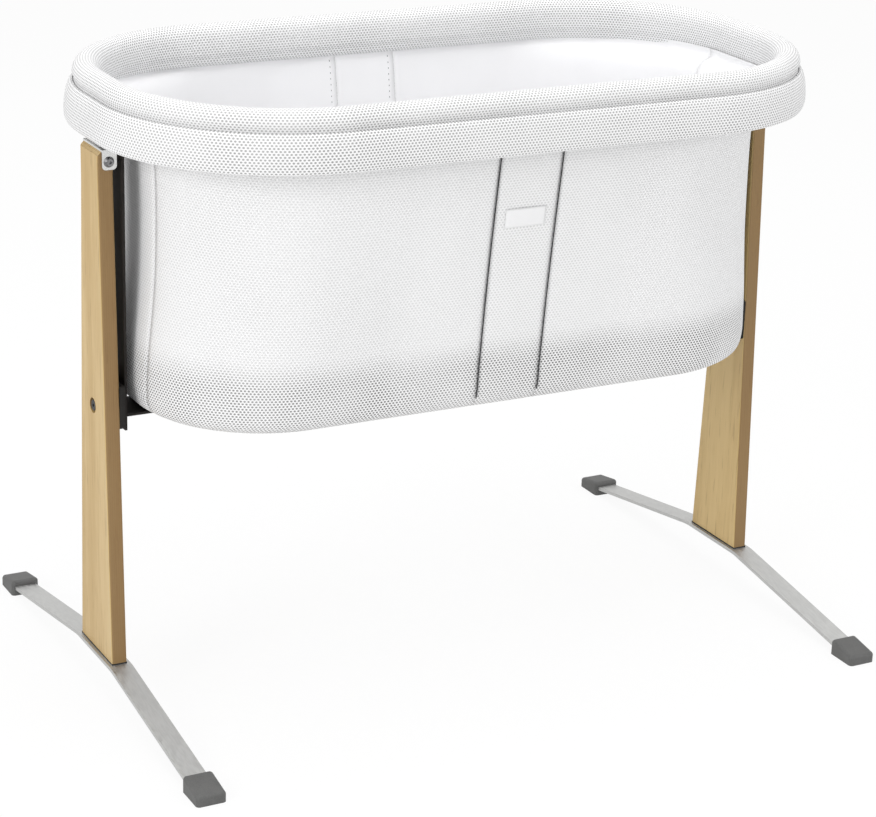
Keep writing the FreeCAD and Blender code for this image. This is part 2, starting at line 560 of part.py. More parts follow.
strip = fuse("strip_blank",
             box("strip_plate", "-strip_outer_x", "-strip_half", "strip_low_z", "strip_thick",
                 "2 * strip_half", "strip_high_z - strip_low_z"),
             box("strip_shelf", "-strip_outer_x", "-strip_half", "shelf_top_z - strip_thick",
                 "strip_outer_x - shelf_reach_x", "2 * strip_half", "strip_thick"))
both_sides("hanger_strip", cut(
    "hanger_strip_left", strip,
    rod("strip_bush_hole", "X", "-strip_outer_x - cut_overrun", "0", "pivot_z", "bush_radius",
        "strip_thick + 2 * cut_overrun"),
    rod("strip_pin_hole", "X", "-strip_outer_x - cut_overrun", "0", "pivot_z - slot_radius",
        "guide_pin_spigot", "strip_thick + cut_overrun"), *screw_bores))
screws_left = group("board_screws_left", *board_screws)
bores_left = group("board_bores_left", *screw_bores)
both_sides("board_screws", screws_left)

# Board and the cloth bottom below it
board = slab("board_blank", "board_low_z", "board_half_length", "board_half_width",
             "board_corner", "board_thick")
nodes["base_board"] = cut("base_board", board, bores_left, mirror("board_bores_right",
                                                                  bores_left))
bottom = slab("bottom_blank", "tub_z_a", "tub_long_a - mesh_thick - soft_gap",
              "tub_wide_a - mesh_thick - soft_gap", "tub_corner_a - mesh_thick - soft_gap",
              "mesh_thick")
bottom_holes = group("bottom_holes", *[
    rod("bottom_hole_" + tag, "Z", "-board_screw_x", y, "tub_z_a - cut_overrun",
        "bottom_screw_hole", "mesh_thick + 2 * cut_overrun")
    for tag, y in (("front", "-board_screw_y"), ("back", "board_screw_y"))])
nodes["tub_bottom"] = cut("tub_bottom", bottom, bottom_holes,
                          mirror("bottom_holes_right", bottom_holes))

# Tub wall: one lofted skin cut into its sewn panels


def tub_rows(grow, over=""):
    """Tub sections grown by an offset, the end rows moved out where asked."""
    return [("tub_z_%s%s" % (k, {"a": over and " - " + over, "f": over and " + " + over}
                             .get(k, "")),
             "tub_long_%s + %s" % (k, grow), "tub_wide_%s + %s" % (k, grow),
             "tub_corner_%s + %s" % (k, grow)) for k in LEVELS]


tub_outer = loft("tub_outer", tub_rows("0"))
tub_inner = loft("tub_inner", tub_rows("-mesh_thick", "soft_gap"))
tub_wall = cut("tub_wall", tub_outer, tub_inner)
tub_skin = cut("tub_skin", loft("tub_skin_outer", tub_rows("piping_proud")),
               loft("tub_skin_inner", tub_rows("soft_gap", "soft_gap")))


def panel(name, skin, x, y, dx, dy, z="0", dz="tool_reach"):
    """The part of a wall skin that lies in a box."""
    return common(name, skin, box(name + "_tool", x, y, z, dx, dy, dz))


reach = "tool_reach"
for side, y, dy in (("front", "-tool_reach", reach), ("back", "0", reach)):
    edge = "-tool_reach" if side == "front" else "seam_half_y"
    wide = "tool_reach - seam_half_y"
    nodes["tub_%s_centre" % side] = panel("tub_%s_centre" % side, tub_wall, "-seam_half_x", y,
                                          "2 * seam_half_x", dy)
    nodes["tub_%s_left" % side] = panel("tub_%s_left" % side, tub_wall, "-tool_reach", edge,
                                        "tool_reach - seam_half_x", wide)
    nodes["tub_%s_right" % side] = panel("tub_%s_right" % side, tub_wall, "seam_half_x", edge,
                                         "tool_reach - seam_half_x", wide)
for side, x in (("left", "-tool_reach"), ("right", "seam_half_x")):
    nodes["tub_end_" + side] = panel("tub_end_" + side, tub_wall, x, "-seam_half_y",
                                     "tool_reach - seam_half_x", "2 * seam_half_y")
for side, y in (("front", "-tool_reach"), ("back", "0")):
    strips = [panel("piping_%s_%s" % (side, tag), tub_skin, x + " - piping_half", y,
                    "2 * piping_half", reach, "piping_low_z", "piping_high_z - piping_low_z")
              for tag, x in (("left", "-seam_half_x"), ("right", "seam_half_x"))]
    nodes["seam_piping_" + side] = group("seam_piping_" + side, *strips)
nodes["blank_label"] = panel("blank_label", tub_skin, "-label_half", "-tool_reach",
                             "2 * label_half", reach, "label_low_z",
                             "label_high_z - label_low_z")

# Rim: steel ring, padded roll round it, skirt below the groove
path = oval_at("ring_path", "ring_z", "ring_half_length", "ring_half_width", "ring_corner")
roll_path = oval_at("roll_path", "roll_z", "ring_half_length", "ring_half_width",
                    "ring_corner")


def swept(name, spine, z, draw):
    """Solid swept round a closed oval from a section at its start."""
    section = doc.addObject("Sketcher::SketchObject", name + "_section")
    draw(section)
    section.Placement = FreeCAD.Placement(V(), SECTION_TURN)
    place(section, "ring_corner - ring_half_length", "-ring_half_width", z)
    obj = doc.addObject("Part::Sweep", name)
    obj.Sections = [section]
    obj.Spine = (spine, ["Edge%d" % (i + 1) for i in range(8)])
    obj.Solid = True
    obj.Frenet = True
    return obj


def round_section(radius):
    """A drawing routine for one bound circle."""
    def draw(sketch):
        size = value(radius)
        sketch.addGeometry(Part.Circle(V(), V(0, 0, 1), size), False)
        sketch.addConstraint(Sketcher.Constraint("Coincident", 0, 3, -1, 1))
        at = sketch.addConstraint(Sketcher.Constraint("Radius", 0, size))
        sketch.setExpression("Constraints[%d]" % at, sized(radius))
    return draw


nodes["rim_ring"] = swept("rim_ring", path, "ring_z", round_section("ring_tube"))
ring_room = swept("ring_room", path, "ring_z", round_section("ring_tube + soft_gap"))
roll = swept("roll_blank", roll_path, "roll_z",
             lambda s: oval(s, "roll_half_thick", "roll_half_tall", "roll_round"))
slots = [box("roll_slot_" + tag, x, "-strip_half - roll_slot_clear",
             "roll_z - roll_half_tall - cut_overrun", "strip_thick + 2 * roll_slot_clear",
             "2 * strip_half + 2 * roll_slot_clear",
             "strip_high_z + roll_slot_clear - roll_z + roll_half_tall + cut_overrun")
         for tag, x in (("left", "-strip_outer_x - roll_slot_clear"),
                        ("right", "strip_outer_x - strip_thick - roll_slot_clear"))]
nodes["rim_roll"] = cut("rim_roll", roll, ring_room, *slots)
skirt_outer = loft("skirt_outer", [
    ("skirt_z_" + k, "skirt_out_" + k, "skirt_wide_" + k, "skirt_corner") for k in "abcd"])
skirt_inner = loft("skirt_inner", [
    ("skirt_z_%s%s" % (k, {"a": " - soft_gap", "d": " + soft_gap"}.get(k, "")),
     "skirt_in_" + k, "skirt_wide_in_" + k, "ring_corner + skirt_inner_round")
    for k in "abcd"])
nodes["rim_skirt"] = cut("rim_skirt", skirt_outer, skirt_inner)

# Mattress with crowned top and drawn-in sides
nodes["mattress"] = loft("mattress", [
    ("pad_z_" + k, "pad_long_" + k, "pad_wide_" + k, "pad_wide_%s - pad_square" % k)
    for k in LEVELS], straight=True)

doc.recompute()
bad = [o.Name for o in doc.Objects if "Invalid" in o.State or "Error" in o.State]
assert not bad, "objects in error: %s" % bad
os.makedirs("parts", exist_ok=True)
for node in sorted(nodes):
    nodes[node].Label = node
    shape = nodes[node].Shape
    assert not shape.isNull() and shape.isValid(), "bad shape: %s" % node
    shape.exportStep("parts/%s.step" % node)
    print("%-22s solids %d volume %.0f" % (node, len(shape.Solids), shape.Volume))
print(len(nodes), "nodes")
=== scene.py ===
import logging
import math
from dataclasses import dataclass
from enum import Enum

import bmesh
import bpy
import numpy as np
from mathutils import Matrix, Vector


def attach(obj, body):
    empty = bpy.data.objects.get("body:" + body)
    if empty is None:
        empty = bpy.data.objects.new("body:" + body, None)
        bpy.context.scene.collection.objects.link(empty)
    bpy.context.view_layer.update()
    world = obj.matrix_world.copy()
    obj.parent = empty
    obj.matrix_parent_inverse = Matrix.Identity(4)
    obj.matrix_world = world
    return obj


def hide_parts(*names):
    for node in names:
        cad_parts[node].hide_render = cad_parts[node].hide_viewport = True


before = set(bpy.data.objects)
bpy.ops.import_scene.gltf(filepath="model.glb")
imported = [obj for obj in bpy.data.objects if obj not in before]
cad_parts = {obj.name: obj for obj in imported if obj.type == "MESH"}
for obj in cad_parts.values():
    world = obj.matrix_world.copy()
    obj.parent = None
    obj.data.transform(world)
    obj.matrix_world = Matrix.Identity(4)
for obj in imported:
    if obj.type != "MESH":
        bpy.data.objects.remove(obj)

LOG = logging.getLogger("cradle")
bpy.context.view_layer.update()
BED, MATTRESS = "bed", "mattress"
TINY = 1e-9
Point = tuple[float, float, float]
Colour = tuple[float, float, float]


class Face(Enum):
    """The two long sides of the tub."""

    FRONT = "front"
    BACK = "back"


class Part(Enum):
    """The sewn panels of one long side."""

    LEFT = "left"
    CENTRE = "centre"
    RIGHT = "right"


def millimetres(*values: float) -> tuple[float, ...]:
    """Turn millimetres into metres.

    Args:
        values: lengths in millimetres.

    Returns:
        The same lengths in metres.
    """
    return tuple(v / 1000.0 for v in values)


# Plan curves


@dataclass(frozen=True)
class Oval:
    """A level rounded rectangle about the origin, walked from its front middle."""

    long_half: float
    wide_half: float
    corner: float

    @property
    def quarter(self) -> float:
        """Length of a quarter of the outline."""
        return self.long_half + self.wide_half - 2 * self.corner + self.corner * math.pi / 2

    def grown(self, by: float) -> "Oval":
        """The outline a set distance further out."""
        return Oval(self.long_half + by, self.wide_half + by, self.corner + by)

    def middle_run(self, face: Face) -> float:
        """Run to the middle of a long side."""
        return 0.0 if face is Face.FRONT else 2 * self.quarter

    def run_to_end_seam(self, seam: float) -> float:
        """Length from the front middle to where the end seam crosses.

        Args:
            seam: distance of the seam from the middle of the end.

        Returns:
            The run along the outline.
        """
        straight = self.wide_half - self.corner
        flat = self.long_half - self.corner
        if seam <= straight:
            return self.quarter - seam
        return flat + self.corner * (math.pi / 2 - math.asin((seam - straight) / self.corner))

    def trace(self, runs: np.ndarray) -> tuple[np.ndarray, np.ndarray]:
        """Points and outward normals at runs along the outline.

        Args:
            runs: lengths from the front middle, positive towards +X.

        Returns:
            Two arrays of plan points and plan normals.
        """
        q = self.quarter
        runs = np.mod(runs, 4 * q)
        lap = np.floor(runs / q).astype(int) % 4
        local = np.where(lap == 0, runs, np.where(lap == 1, 2 * q - runs,
                         np.where(lap == 2, runs - 2 * q, 4 * q - runs)))
        flat, straight = self.long_half - self.corner, self.wide_half - self.corner
        turn = np.clip((local - flat) / max(self.corner, TINY), 0, math.pi / 2) - math.pi / 2
        past = np.maximum(local - flat - self.corner * math.pi / 2, 0)
        x = np.minimum(local, flat) + self.corner * np.cos(turn)
        y = -straight + self.corner * np.sin(turn) + past
        nx, ny = np.cos(turn), np.sin(turn)
        flip_x = np.where((lap == 2) | (lap == 3), -1.0, 1.0)
        flip_y = np.where((lap == 1) | (lap == 2), -1.0, 1.0)
        return (np.stack([x * flip_x, y * flip_y], -1),
                np.stack([nx * flip_x, ny * flip_y], -1))


def at_height(plan: np.ndarray, z: float) -> np.ndarray:
    """Plan points lifted to a height."""
    return np.column_stack([plan, np.full(len(plan), z)])


# Mesh building


def mesh_object(name: str, points: np.ndarray, faces: list[tuple[int, ...]],
                uvs: list[list[tuple[float, float]]] | None = None,
                slots: list[int] | None = None) -> bpy.types.Object:
    """Make a smooth-shaded mesh object.

    Args:
        name: the piece's name.
        points: vertex places in metres.
        faces: vertex numbers of each face.
        uvs: weave coordinates of each face's corners, in metres.
        slots: material slot of each face.

    Returns:
        The new object, linked to the scene.
    """
    data = bpy.data.meshes.new(name)
    data.from_pydata([tuple(p) for p in points], [], faces)
    if uvs is not None:
        layer = data.uv_layers.new(name="weave")
        layer.data.foreach_set("uv", [c for f in uvs for p in f for c in p])
    if slots is not None:
        data.polygons.foreach_set("material_index", slots)
    data.polygons.foreach_set("use_smooth", [True] * len(data.polygons))
    data.validate()
    data.update()
    obj = bpy.data.objects.new(name, data)
    bpy.context.scene.collection.objects.link(obj)
    return obj


def grid_normals(grid: np.ndarray) -> np.ndarray:
    """Unit normals of a grid of points, turned out of the tub.

    Args:
        grid: points in rows up the wall and columns along it.

    Returns:
        An array of the same shape.
    """
    up, along = np.gradient(grid, axis=0), np.gradient(grid, axis=1)
    normal = np.cross(along, up)
    return normal / np.maximum(np.linalg.norm(normal, axis=-1, keepdims=True), TINY)


def cloth_shell(name: str, outer: np.ndarray, thick: float, weave: np.ndarray
                ) -> bpy.types.Object:
    """A closed piece of cloth of even thickness.

    Args:
        name: the piece's name.
        outer: grid of points on the outer face.
        thick: thickness of the cloth.
        weave: weave coordinates of the grid.

    Returns:
        The piece, its outer face in slot 0 and its inner face in slot 1.
    """
    rows, cols = outer.shape[:2]
    inner = outer - grid_normals(outer) * thick
    points = np.concatenate([outer.reshape(-1, 3), inner.reshape(-1, 3)])
    base = rows * cols
    faces: list[tuple[int, ...]] = []
    uvs: list[list[tuple[float, float]]] = []
    slots: list[int] = []

    def add(corners: list[tuple[int, int, int]], slot: int) -> None:
        """Add one face.

        Args:
            corners: layer, row and column of each corner.
            slot: its material slot.
        """
        faces.append(tuple(k * base + i * cols + j for k, i, j in corners))
        uvs.append([tuple(weave[i, j]) for _, i, j in corners])
        slots.append(slot)

    for i in range(rows - 1):
        for j in range(cols - 1):
            square = [(i, j), (i, j + 1), (i + 1, j + 1), (i + 1, j)]
            add([(0, *p) for p in square], 0)
            add([(1, *p) for p in reversed(square)], 1)
    for i in range(rows - 1):
        add([(0, i, 0), (0, i + 1, 0), (1, i + 1, 0), (1, i, 0)], 0)
        last = cols - 1
        add([(0, i + 1, last), (0, i, last), (1, i, last), (1, i + 1, last)], 0)
    for j in range(cols - 1):
        add([(0, 0, j + 1), (0, 0, j), (1, 0, j), (1, 0, j + 1)], 0)
        last = rows - 1
        add([(0, last, j), (0, last, j + 1), (1, last, j + 1), (1, last, j)], 0)
    return mesh_object(name, points, faces, uvs, slots)


def closed_ring(name: str, grid: np.ndarray, weave: np.ndarray) -> bpy.types.Object:
    """A closed tube whose section runs round a closed path.

    Args:
        name: the piece's name.
        grid: points, one row for each place on the path, one column on the section.
        weave: weave coordinates with one more row and column than the grid.

    Returns:
        The piece.
    """
    rows, cols = grid.shape[:2]
    faces, uvs = [], []
    for i in range(rows):
        for j in range(cols):
            corners = [(i, j), (i + 1, j), (i + 1, j + 1), (i, j + 1)]
            faces.append(tuple((a % rows) * cols + b % cols for a, b in corners))
            uvs.append([tuple(weave[a, b]) for a, b in corners])
    return mesh_object(name, grid.reshape(-1, 3), faces, uvs)


def layered_pad(name: str, plan: Oval, profile: list[tuple[float, float]], around: int
                ) -> bpy.types.Object:
    """A closed pad from inset outlines, from its bottom middle to its top middle.

    Args:
        name: the piece's name.
        plan: the largest outline.
        profile: pairs of inset from that outline and height.
        around: points on each outline.

    Returns:
        The piece.
    """
    least_corner = 1e-5
    shares = (np.arange(around) + 0.5) / around
    rings = []
    for inset, z in profile:
        wide = plan.wide_half - inset
        oval = Oval(plan.long_half - inset, max(wide, 0.0),
                    max(min(plan.corner - inset, wide), least_corner))
        rings.append(at_height(oval.trace(shares * 4 * oval.quarter)[0], z))
    grid = np.array(rings)
    faces, uvs = [], []
    for i in range(len(rings) - 1):
        for j in range(around):
            k = (j + 1) % around
            corners = [(i, j), (i, k), (i + 1, k), (i + 1, j)]
            faces.append(tuple(a * around + b for a, b in corners))
            uvs.append([tuple(grid[a, b, :2]) for a, b in corners])
    obj = mesh_object(name, grid.reshape(-1, 3), faces, uvs)
    weld_middle(obj)
    return obj


def weld_middle(obj: bpy.types.Object, reach: float = 1e-4) -> None:
    """Join the points that meet along a pad's middle line.

    Args:
        obj: the pad.
        reach: how close points have to be.
    """
    work = bmesh.new()
    work.from_mesh(obj.data)
    bmesh.ops.remove_doubles(work, verts=work.verts, dist=reach)
    bmesh.ops.dissolve_degenerate(work, edges=work.edges, dist=reach / 10)
    bmesh.ops.recalc_face_normals(work, faces=work.faces)
    work.to_mesh(obj.data)
    work.free()


# Shader building


class Nodes:
    """A small writer for one node tree."""

    def __init__(self, tree: bpy.types.NodeTree) -> None:
        """Keep the tree to write in."""
        self.tree = tree

    def add(self, kind: str, **settings: object) -> bpy.types.Node:
        """Add a node.

        Args:
            kind: the node's type.
            settings: its plain properties.

        Returns:
            The new node.
        """
        node = self.tree.nodes.new(kind)
        for key, value in settings.items():
            setattr(node, key, value)
        return node

    def link(self, source: bpy.types.NodeSocket, target: bpy.types.NodeSocket) -> None:
        """Join two sockets."""
        self.tree.links.new(source, target)

    def feed(self, socket: bpy.types.NodeSocket, value: object) -> None:
        """Set a socket to a value, or link it to another socket.

        Args:
            socket: the input to feed.
            value: a number, colour or output socket.
        """
        if isinstance(value, bpy.types.NodeSocket):
            self.link(value, socket)
        else:
            socket.default_value = value

    def place(self) -> bpy.types.NodeSocket:
        """Places on the piece, in metres."""
        return self.add("ShaderNodeTexCoord").outputs["Object"]

    def split(self, vector: bpy.types.NodeSocket) -> dict[str, bpy.types.NodeSocket]:
        """Take a vector apart.

        Args:
            vector: the vector.

        Returns:
            Its X, Y and Z.
        """
        node = self.add("ShaderNodeSeparateXYZ")
        self.link(vector, node.inputs[0])
        return {axis: node.outputs[axis] for axis in "XYZ"}

    def math(self, operation: str, *values: object) -> bpy.types.NodeSocket:
        """Work out one sum.

        Args:
            operation: the math node's operation.
            values: what it works on.

        Returns:
            The result.
        """
        node = self.add("ShaderNodeMath", operation=operation)
        for socket, value in zip(node.inputs, values):
            self.feed(socket, value)
        return node.outputs[0]

    def ramp(self, value: object, low: object, high: object, to_low: float = 0.0,
             to_high: float = 1.0) -> bpy.types.NodeSocket:
        """A smooth step between two values.

        Args:
            value: what is looked up.
            low: where the step starts.
            high: where it ends.
            to_low: the result before it.
            to_high: the result after it.

        Returns:
            The result.
        """
        node = self.add("ShaderNodeMapRange", interpolation_type="SMOOTHSTEP")
        for key, item in (("Value", value), ("From Min", low), ("From Max", high),
                          ("To Min", to_low), ("To Max", to_high)):
            self.feed(node.inputs[key], item)
        return node.outputs["Result"]

    def mix(self, share: object, first: object, second: object) -> bpy.types.NodeSocket:
        """Mix two colours.

        Args:
            share: how much of the second there is.
            first: a colour or socket.
            second: a colour or socket.

        Returns:
            The mixed colour.
        """
        node = self.add("ShaderNodeMix", data_type="RGBA")
        self.feed(node.inputs["Factor"], share)
        for key, item in (("A", first), ("B", second)):
            socket = [s for s in node.inputs if s.name == key and s.type == "RGBA"][0]
            self.feed(socket, (*item, 1.0) if isinstance(item, tuple) else item)
        return [s for s in node.outputs if s.type == "RGBA"][0]

    def noise(self, vector: object, scale: object, detail: float,
              roughness: float = 0.5) -> bpy.types.NodeSocket:
        """A noise texture.

        Args:
            vector: where it is looked up.
            scale: how fine it is.
            detail: how many finer layers it has.
            roughness: how strong those are.

        Returns:
            Its value.
        """
        node = self.add("ShaderNodeTexNoise")
        for key, item in (("Vector", vector), ("Scale", scale), ("Detail", detail),
                          ("Roughness", roughness)):
            self.feed(node.inputs[key], item)
        return node.outputs["Fac"]

    def group(self, tree: bpy.types.NodeTree, **values: object) -> bpy.types.Node:
        """Place a node group.

        Args:
            tree: the group.
            values: what its inputs are fed, by name.

        Returns:
            The group's node.
        """
        node = self.add("ShaderNodeGroup", node_tree=tree)
        for key, value in values.items():
            self.feed(node.inputs[key], value)
        return node


def new_group(name: str, inputs: dict[str, str], outputs: dict[str, str]
              ) -> tuple[bpy.types.NodeTree, Nodes, bpy.types.Node, bpy.types.Node]:
    """Start a shader node group.

    Args:
        name: the group's name.
        inputs: socket names and kinds.
        outputs: socket names and kinds.

    Returns:
        The tree, a writer for it, and its input and output nodes.
    """
    tree = bpy.data.node_groups.new(name, "ShaderNodeTree")
    for table, way in ((inputs, "INPUT"), (outputs, "OUTPUT")):
        for key, kind in table.items():
            tree.interface.new_socket(key, in_out=way, socket_type="NodeSocket" + kind)
    write = Nodes(tree)
    return tree, write, write.add("NodeGroupInput"), write.add("NodeGroupOutput")


def weave_group() -> bpy.types.NodeTree:
    """Staggered rows of holes of an open mesh.

    Returns:
        A group that gives the hole mask and the thread height.
    """
    narrow, core, blur = 1.15, 0.65, 1.25
    tree, w, start, end = new_group(
        "mesh holes", {"Weave": "Vector", "Pitch": "Float", "Row": "Float", "Hole": "Float"},
        {"Hole": "Float", "Height": "Float"})
    split = w.split(start.outputs["Weave"])
    rows = w.math("DIVIDE", split["Y"], start.outputs["Row"])
    stagger = w.math("FRACT", w.math("MULTIPLY", w.math("FLOOR", rows), 0.5))
    across = w.math("ADD", w.math("DIVIDE", split["X"], start.outputs["Pitch"]), stagger)
    dx = w.math("MULTIPLY", w.math("SUBTRACT", w.math("FRACT", across), 0.5), narrow)
    dy = w.math("SUBTRACT", w.math("FRACT", rows), 0.5)
    far = w.math("SQRT", w.math("ADD", w.math("MULTIPLY", dx, dx), w.math("MULTIPLY", dy, dy)))
    inner, outer = (w.math("MULTIPLY", start.outputs["Hole"], share) for share in (core, blur))
    hole = w.math("SUBTRACT", 1.0, w.ramp(far, inner, outer))
    w.link(hole, end.inputs["Hole"])
    w.link(w.math("SUBTRACT", 1.0, hole), end.inputs["Height"])
    return tree


def grain_group() -> bpy.types.NodeTree:
    """Straight beech grain with short dark flecks, drawn along Z.

    Returns:
        A group that gives a tone, a fleck mask and a height.
    """
    broad_share, fine_share = 0.75, 0.25
    tree, w, start, end = new_group(
        "beech grain", {"Place": "Vector", "Stretch": "Float"},
        {"Tone": "Float", "Fleck": "Float", "Height": "Float"})
    split = w.split(start.outputs["Place"])
    squeeze = w.add("ShaderNodeCombineXYZ")
    w.link(split["X"], squeeze.inputs["X"])
    w.link(split["Y"], squeeze.inputs["Y"])
    w.link(w.math("MULTIPLY", split["Z"], start.outputs["Stretch"]), squeeze.inputs["Z"])
    broad = w.noise(squeeze.outputs[0], scale=38.0, detail=4.0, roughness=0.55)
    fine = w.noise(squeeze.outputs[0], scale=420.0, detail=2.0, roughness=0.6)
    tone = w.math("ADD", w.math("MULTIPLY", broad, broad_share),
                  w.math("MULTIPLY", fine, fine_share))
    w.link(tone, end.inputs["Tone"])
    w.link(w.ramp(fine, low=0.62, high=0.72), end.inputs["Fleck"])
    w.link(fine, end.inputs["Height"])
    return tree


def speckle_group() -> bpy.types.NodeTree:
    """Uneven tone of a woven, moulded, coated or brushed surface.

    Returns:
        A group that gives a tone and a height.
    """
    tree, w, start, end = new_group(
        "surface speckle", {"Place": "Vector", "Scale": "Float"},
        {"Tone": "Float", "Height": "Float"})
    noise = w.noise(start.outputs["Place"], start.outputs["Scale"], detail=4.0)
    w.link(noise, end.inputs["Height"])
    w.link(w.ramp(noise, low=0.3, high=0.7), end.inputs["Tone"])
    return tree


WEAVE, GRAIN, SPECKLE = weave_group(), grain_group(), speckle_group()


def start_material(name: str) -> tuple[bpy.types.Material, Nodes, bpy.types.Node]:
    """A new material with its one shader.

    Args:
        name: the material's name.

    Returns:
        The material, a writer for its tree, and its shader.
    """
    material = bpy.data.materials.new(name)
    material.use_nodes = True
    write = Nodes(material.node_tree)
    return material, write, material.node_tree.nodes["Principled BSDF"]


def set_plain(shader: bpy.types.Node, values: dict[str, float]) -> None:
    """Set what is the same all over a surface.

    Args:
        shader: the material's shader.
        values: numbers by socket name.
    """
    for key, value in values.items():
        shader.inputs[key].default_value = value


def raise_bump(w: Nodes, shader: bpy.types.Node, height: bpy.types.NodeSocket,
               strength: float, distance: float) -> None:
    """Feed a height through a bump node to a shader's normal.

    Args:
        w: writer of the material.
        shader: its shader.
        height: the height.
        strength: how strongly it shows.
        distance: how deep it is, in metres.
    """
    bump = w.add("ShaderNodeBump")
    bump.inputs["Strength"].default_value = strength
    bump.inputs["Distance"].default_value = distance
    w.link(height, bump.inputs["Height"])
    w.link(bump.outputs["Normal"], shader.inputs["Normal"])


@dataclass(frozen=True)
class MeshCloth:
    """Open white mesh: staggered holes, with painted shade in a band low on the wall where the
    cloth curves under.
    """

    name: str
    thread: Colour
    hole: Colour
    pitch: float
    row: float
    hole_share: float
    depth: float
    # painted shade: height of the band at the bottom of the wall where the holes show darker, how
    # dark they show there, and where the darkening starts
    shade_band: float = 0.0
    shade_band_depth: float = 0.0
    shade_band_start: float = 0.6
    patch: float = 9.0
    bump: tuple[float, float] = (0.35, 0.0006)

    def make(self) -> bpy.types.Material:
        """Build the material.

        Returns:
            The finished material.
        """
        material, w, shader = start_material(self.name)
        weave = w.add("ShaderNodeUVMap", uv_map="weave").outputs["UV"]
        holes = w.group(WEAVE, Weave=weave, Pitch=self.pitch, Row=self.row, Hole=self.hole_share)
        tone = w.group(SPECKLE, Place=w.place(), Scale=self.patch)
        depth: object = self.depth
        # painted shade: the holes darken towards the bottom of the wall, standing in for the
        # shade where the cloth curves under
        if self.shade_band > 0:
            depth = w.ramp(w.split(weave)["Y"], self.shade_band * self.shade_band_start, self.shade_band,
                           self.shade_band_depth, self.depth)
        uneven = w.ramp(tone.outputs["Height"], low=0.25, high=0.75, to_low=0.75, to_high=1.1)
        share = w.math("MULTIPLY", w.math("MULTIPLY", holes.outputs["Hole"], depth), uneven)
        w.link(w.mix(share, self.thread, self.hole), shader.inputs["Base Color"])
        set_plain(shader, {"Roughness": 0.85, "Specular IOR Level": 0.2, "Sheen Weight": 0.15,
                           "Sheen Roughness": 0.5})
        raise_bump(w, shader, holes.outputs["Height"], *self.bump)
        return material


@dataclass(frozen=True)
class PlainCloth:
    """Close-knit cloth: fine ribs and a soft sheen."""

    name: str
    colour: Colour
    shade: Colour
    rib: float = 0.0012
    rib_share: float = 0.3
    patch: float = 14.0
    patch_share: float = 0.35
    bump: tuple[float, float] = (0.15, 0.0003)

    def make(self) -> bpy.types.Material:
        """Build the material.

        Returns:
            The finished material.
        """
        material, w, shader = start_material(self.name)
        place = w.place()
        split = w.split(place)
        turns = 2 * math.pi / self.rib
        waves = [w.math("SINE", w.math("MULTIPLY", split[axis], turns)) for axis in "XYZ"]
        knit = w.math("ADD", w.math("MULTIPLY", waves[0], waves[2]),
                      w.math("MULTIPLY", waves[1], waves[2]))
        tone = w.group(SPECKLE, Place=place, Scale=self.patch)
        share = w.math("ADD", w.math("MULTIPLY", tone.outputs["Tone"], self.patch_share),
                       w.ramp(knit, -1.0, 1.0, self.rib_share, 0.0))
        w.link(w.mix(share, self.colour, self.shade), shader.inputs["Base Color"])
        set_plain(shader, {"Roughness": 0.9, "Specular IOR Level": 0.2, "Sheen Weight": 0.2})
        raise_bump(w, shader, knit, *self.bump)
        return material


@dataclass(frozen=True)
class LaminatedBeech:
    """Lacquered beech board glued up from thin layers that show on its edges, with painted shade
    on its faces that look along Y.
    """

    name: str
    pale: Colour
    dark: Colour
    glue: Colour
    layer: float
    layer_share: float = 0.3
    line_share: float = 0.55
    fleck_share: float = 0.35
    # painted shade: how far the faces that look along Y go towards the glue colour
    narrow_face_shade: float = 0.80
    stretch: float = 0.06
    bump: tuple[float, float] = (0.08, 0.0004)

    def make(self) -> bpy.types.Material:
        """Build the material.

        Returns:
            The finished material.
        """
        material, w, shader = start_material(self.name)
        place = w.place()
        grain = w.group(GRAIN, Place=place, Stretch=self.stretch)
        layers = w.math("DIVIDE", w.split(place)["X"], self.layer)
        index = w.add("ShaderNodeTexWhiteNoise", noise_dimensions="1D")
        w.link(w.math("FLOOR", layers), index.inputs["W"])
        edge = w.math("ABSOLUTE", w.math("SUBTRACT", w.math("FRACT", layers), 0.5))
        line = w.ramp(edge, low=0.42, high=0.49)
        tone = w.math("ADD", w.ramp(grain.outputs["Tone"], low=0.36, high=0.64, to_high=0.75),
                      w.math("MULTIPLY", index.outputs["Value"], self.layer_share))
        wood = w.mix(tone, self.pale, self.dark)
        fleck = w.math("MULTIPLY", grain.outputs["Fleck"], self.fleck_share)
        lined = w.mix(w.math("MULTIPLY", line, self.line_share),
                      w.mix(fleck, wood, self.glue), self.glue)
        # painted shade: faces whose normal points along Y are darkened towards the glue colour,
        # standing in for the lesser light they get
        facing = w.split(w.add("ShaderNodeTexCoord").outputs["Normal"])
        narrow_face_shade_mask = w.ramp(w.math("ABSOLUTE", facing["Y"]), low=0.5, high=0.9,
                         to_high=self.narrow_face_shade)
        w.link(w.mix(narrow_face_shade_mask, lined, self.glue), shader.inputs["Base Color"])
        w.link(w.ramp(grain.outputs["Tone"], low=0.3, high=0.7, to_low=0.32, to_high=0.46),
               shader.inputs["Roughness"])
        set_plain(shader, {"Specular IOR Level": 0.3, "Coat Weight": 0.05,
                           "Coat Roughness": 0.25})
        raise_bump(w, shader, grain.outputs["Height"], *self.bump)
        return material


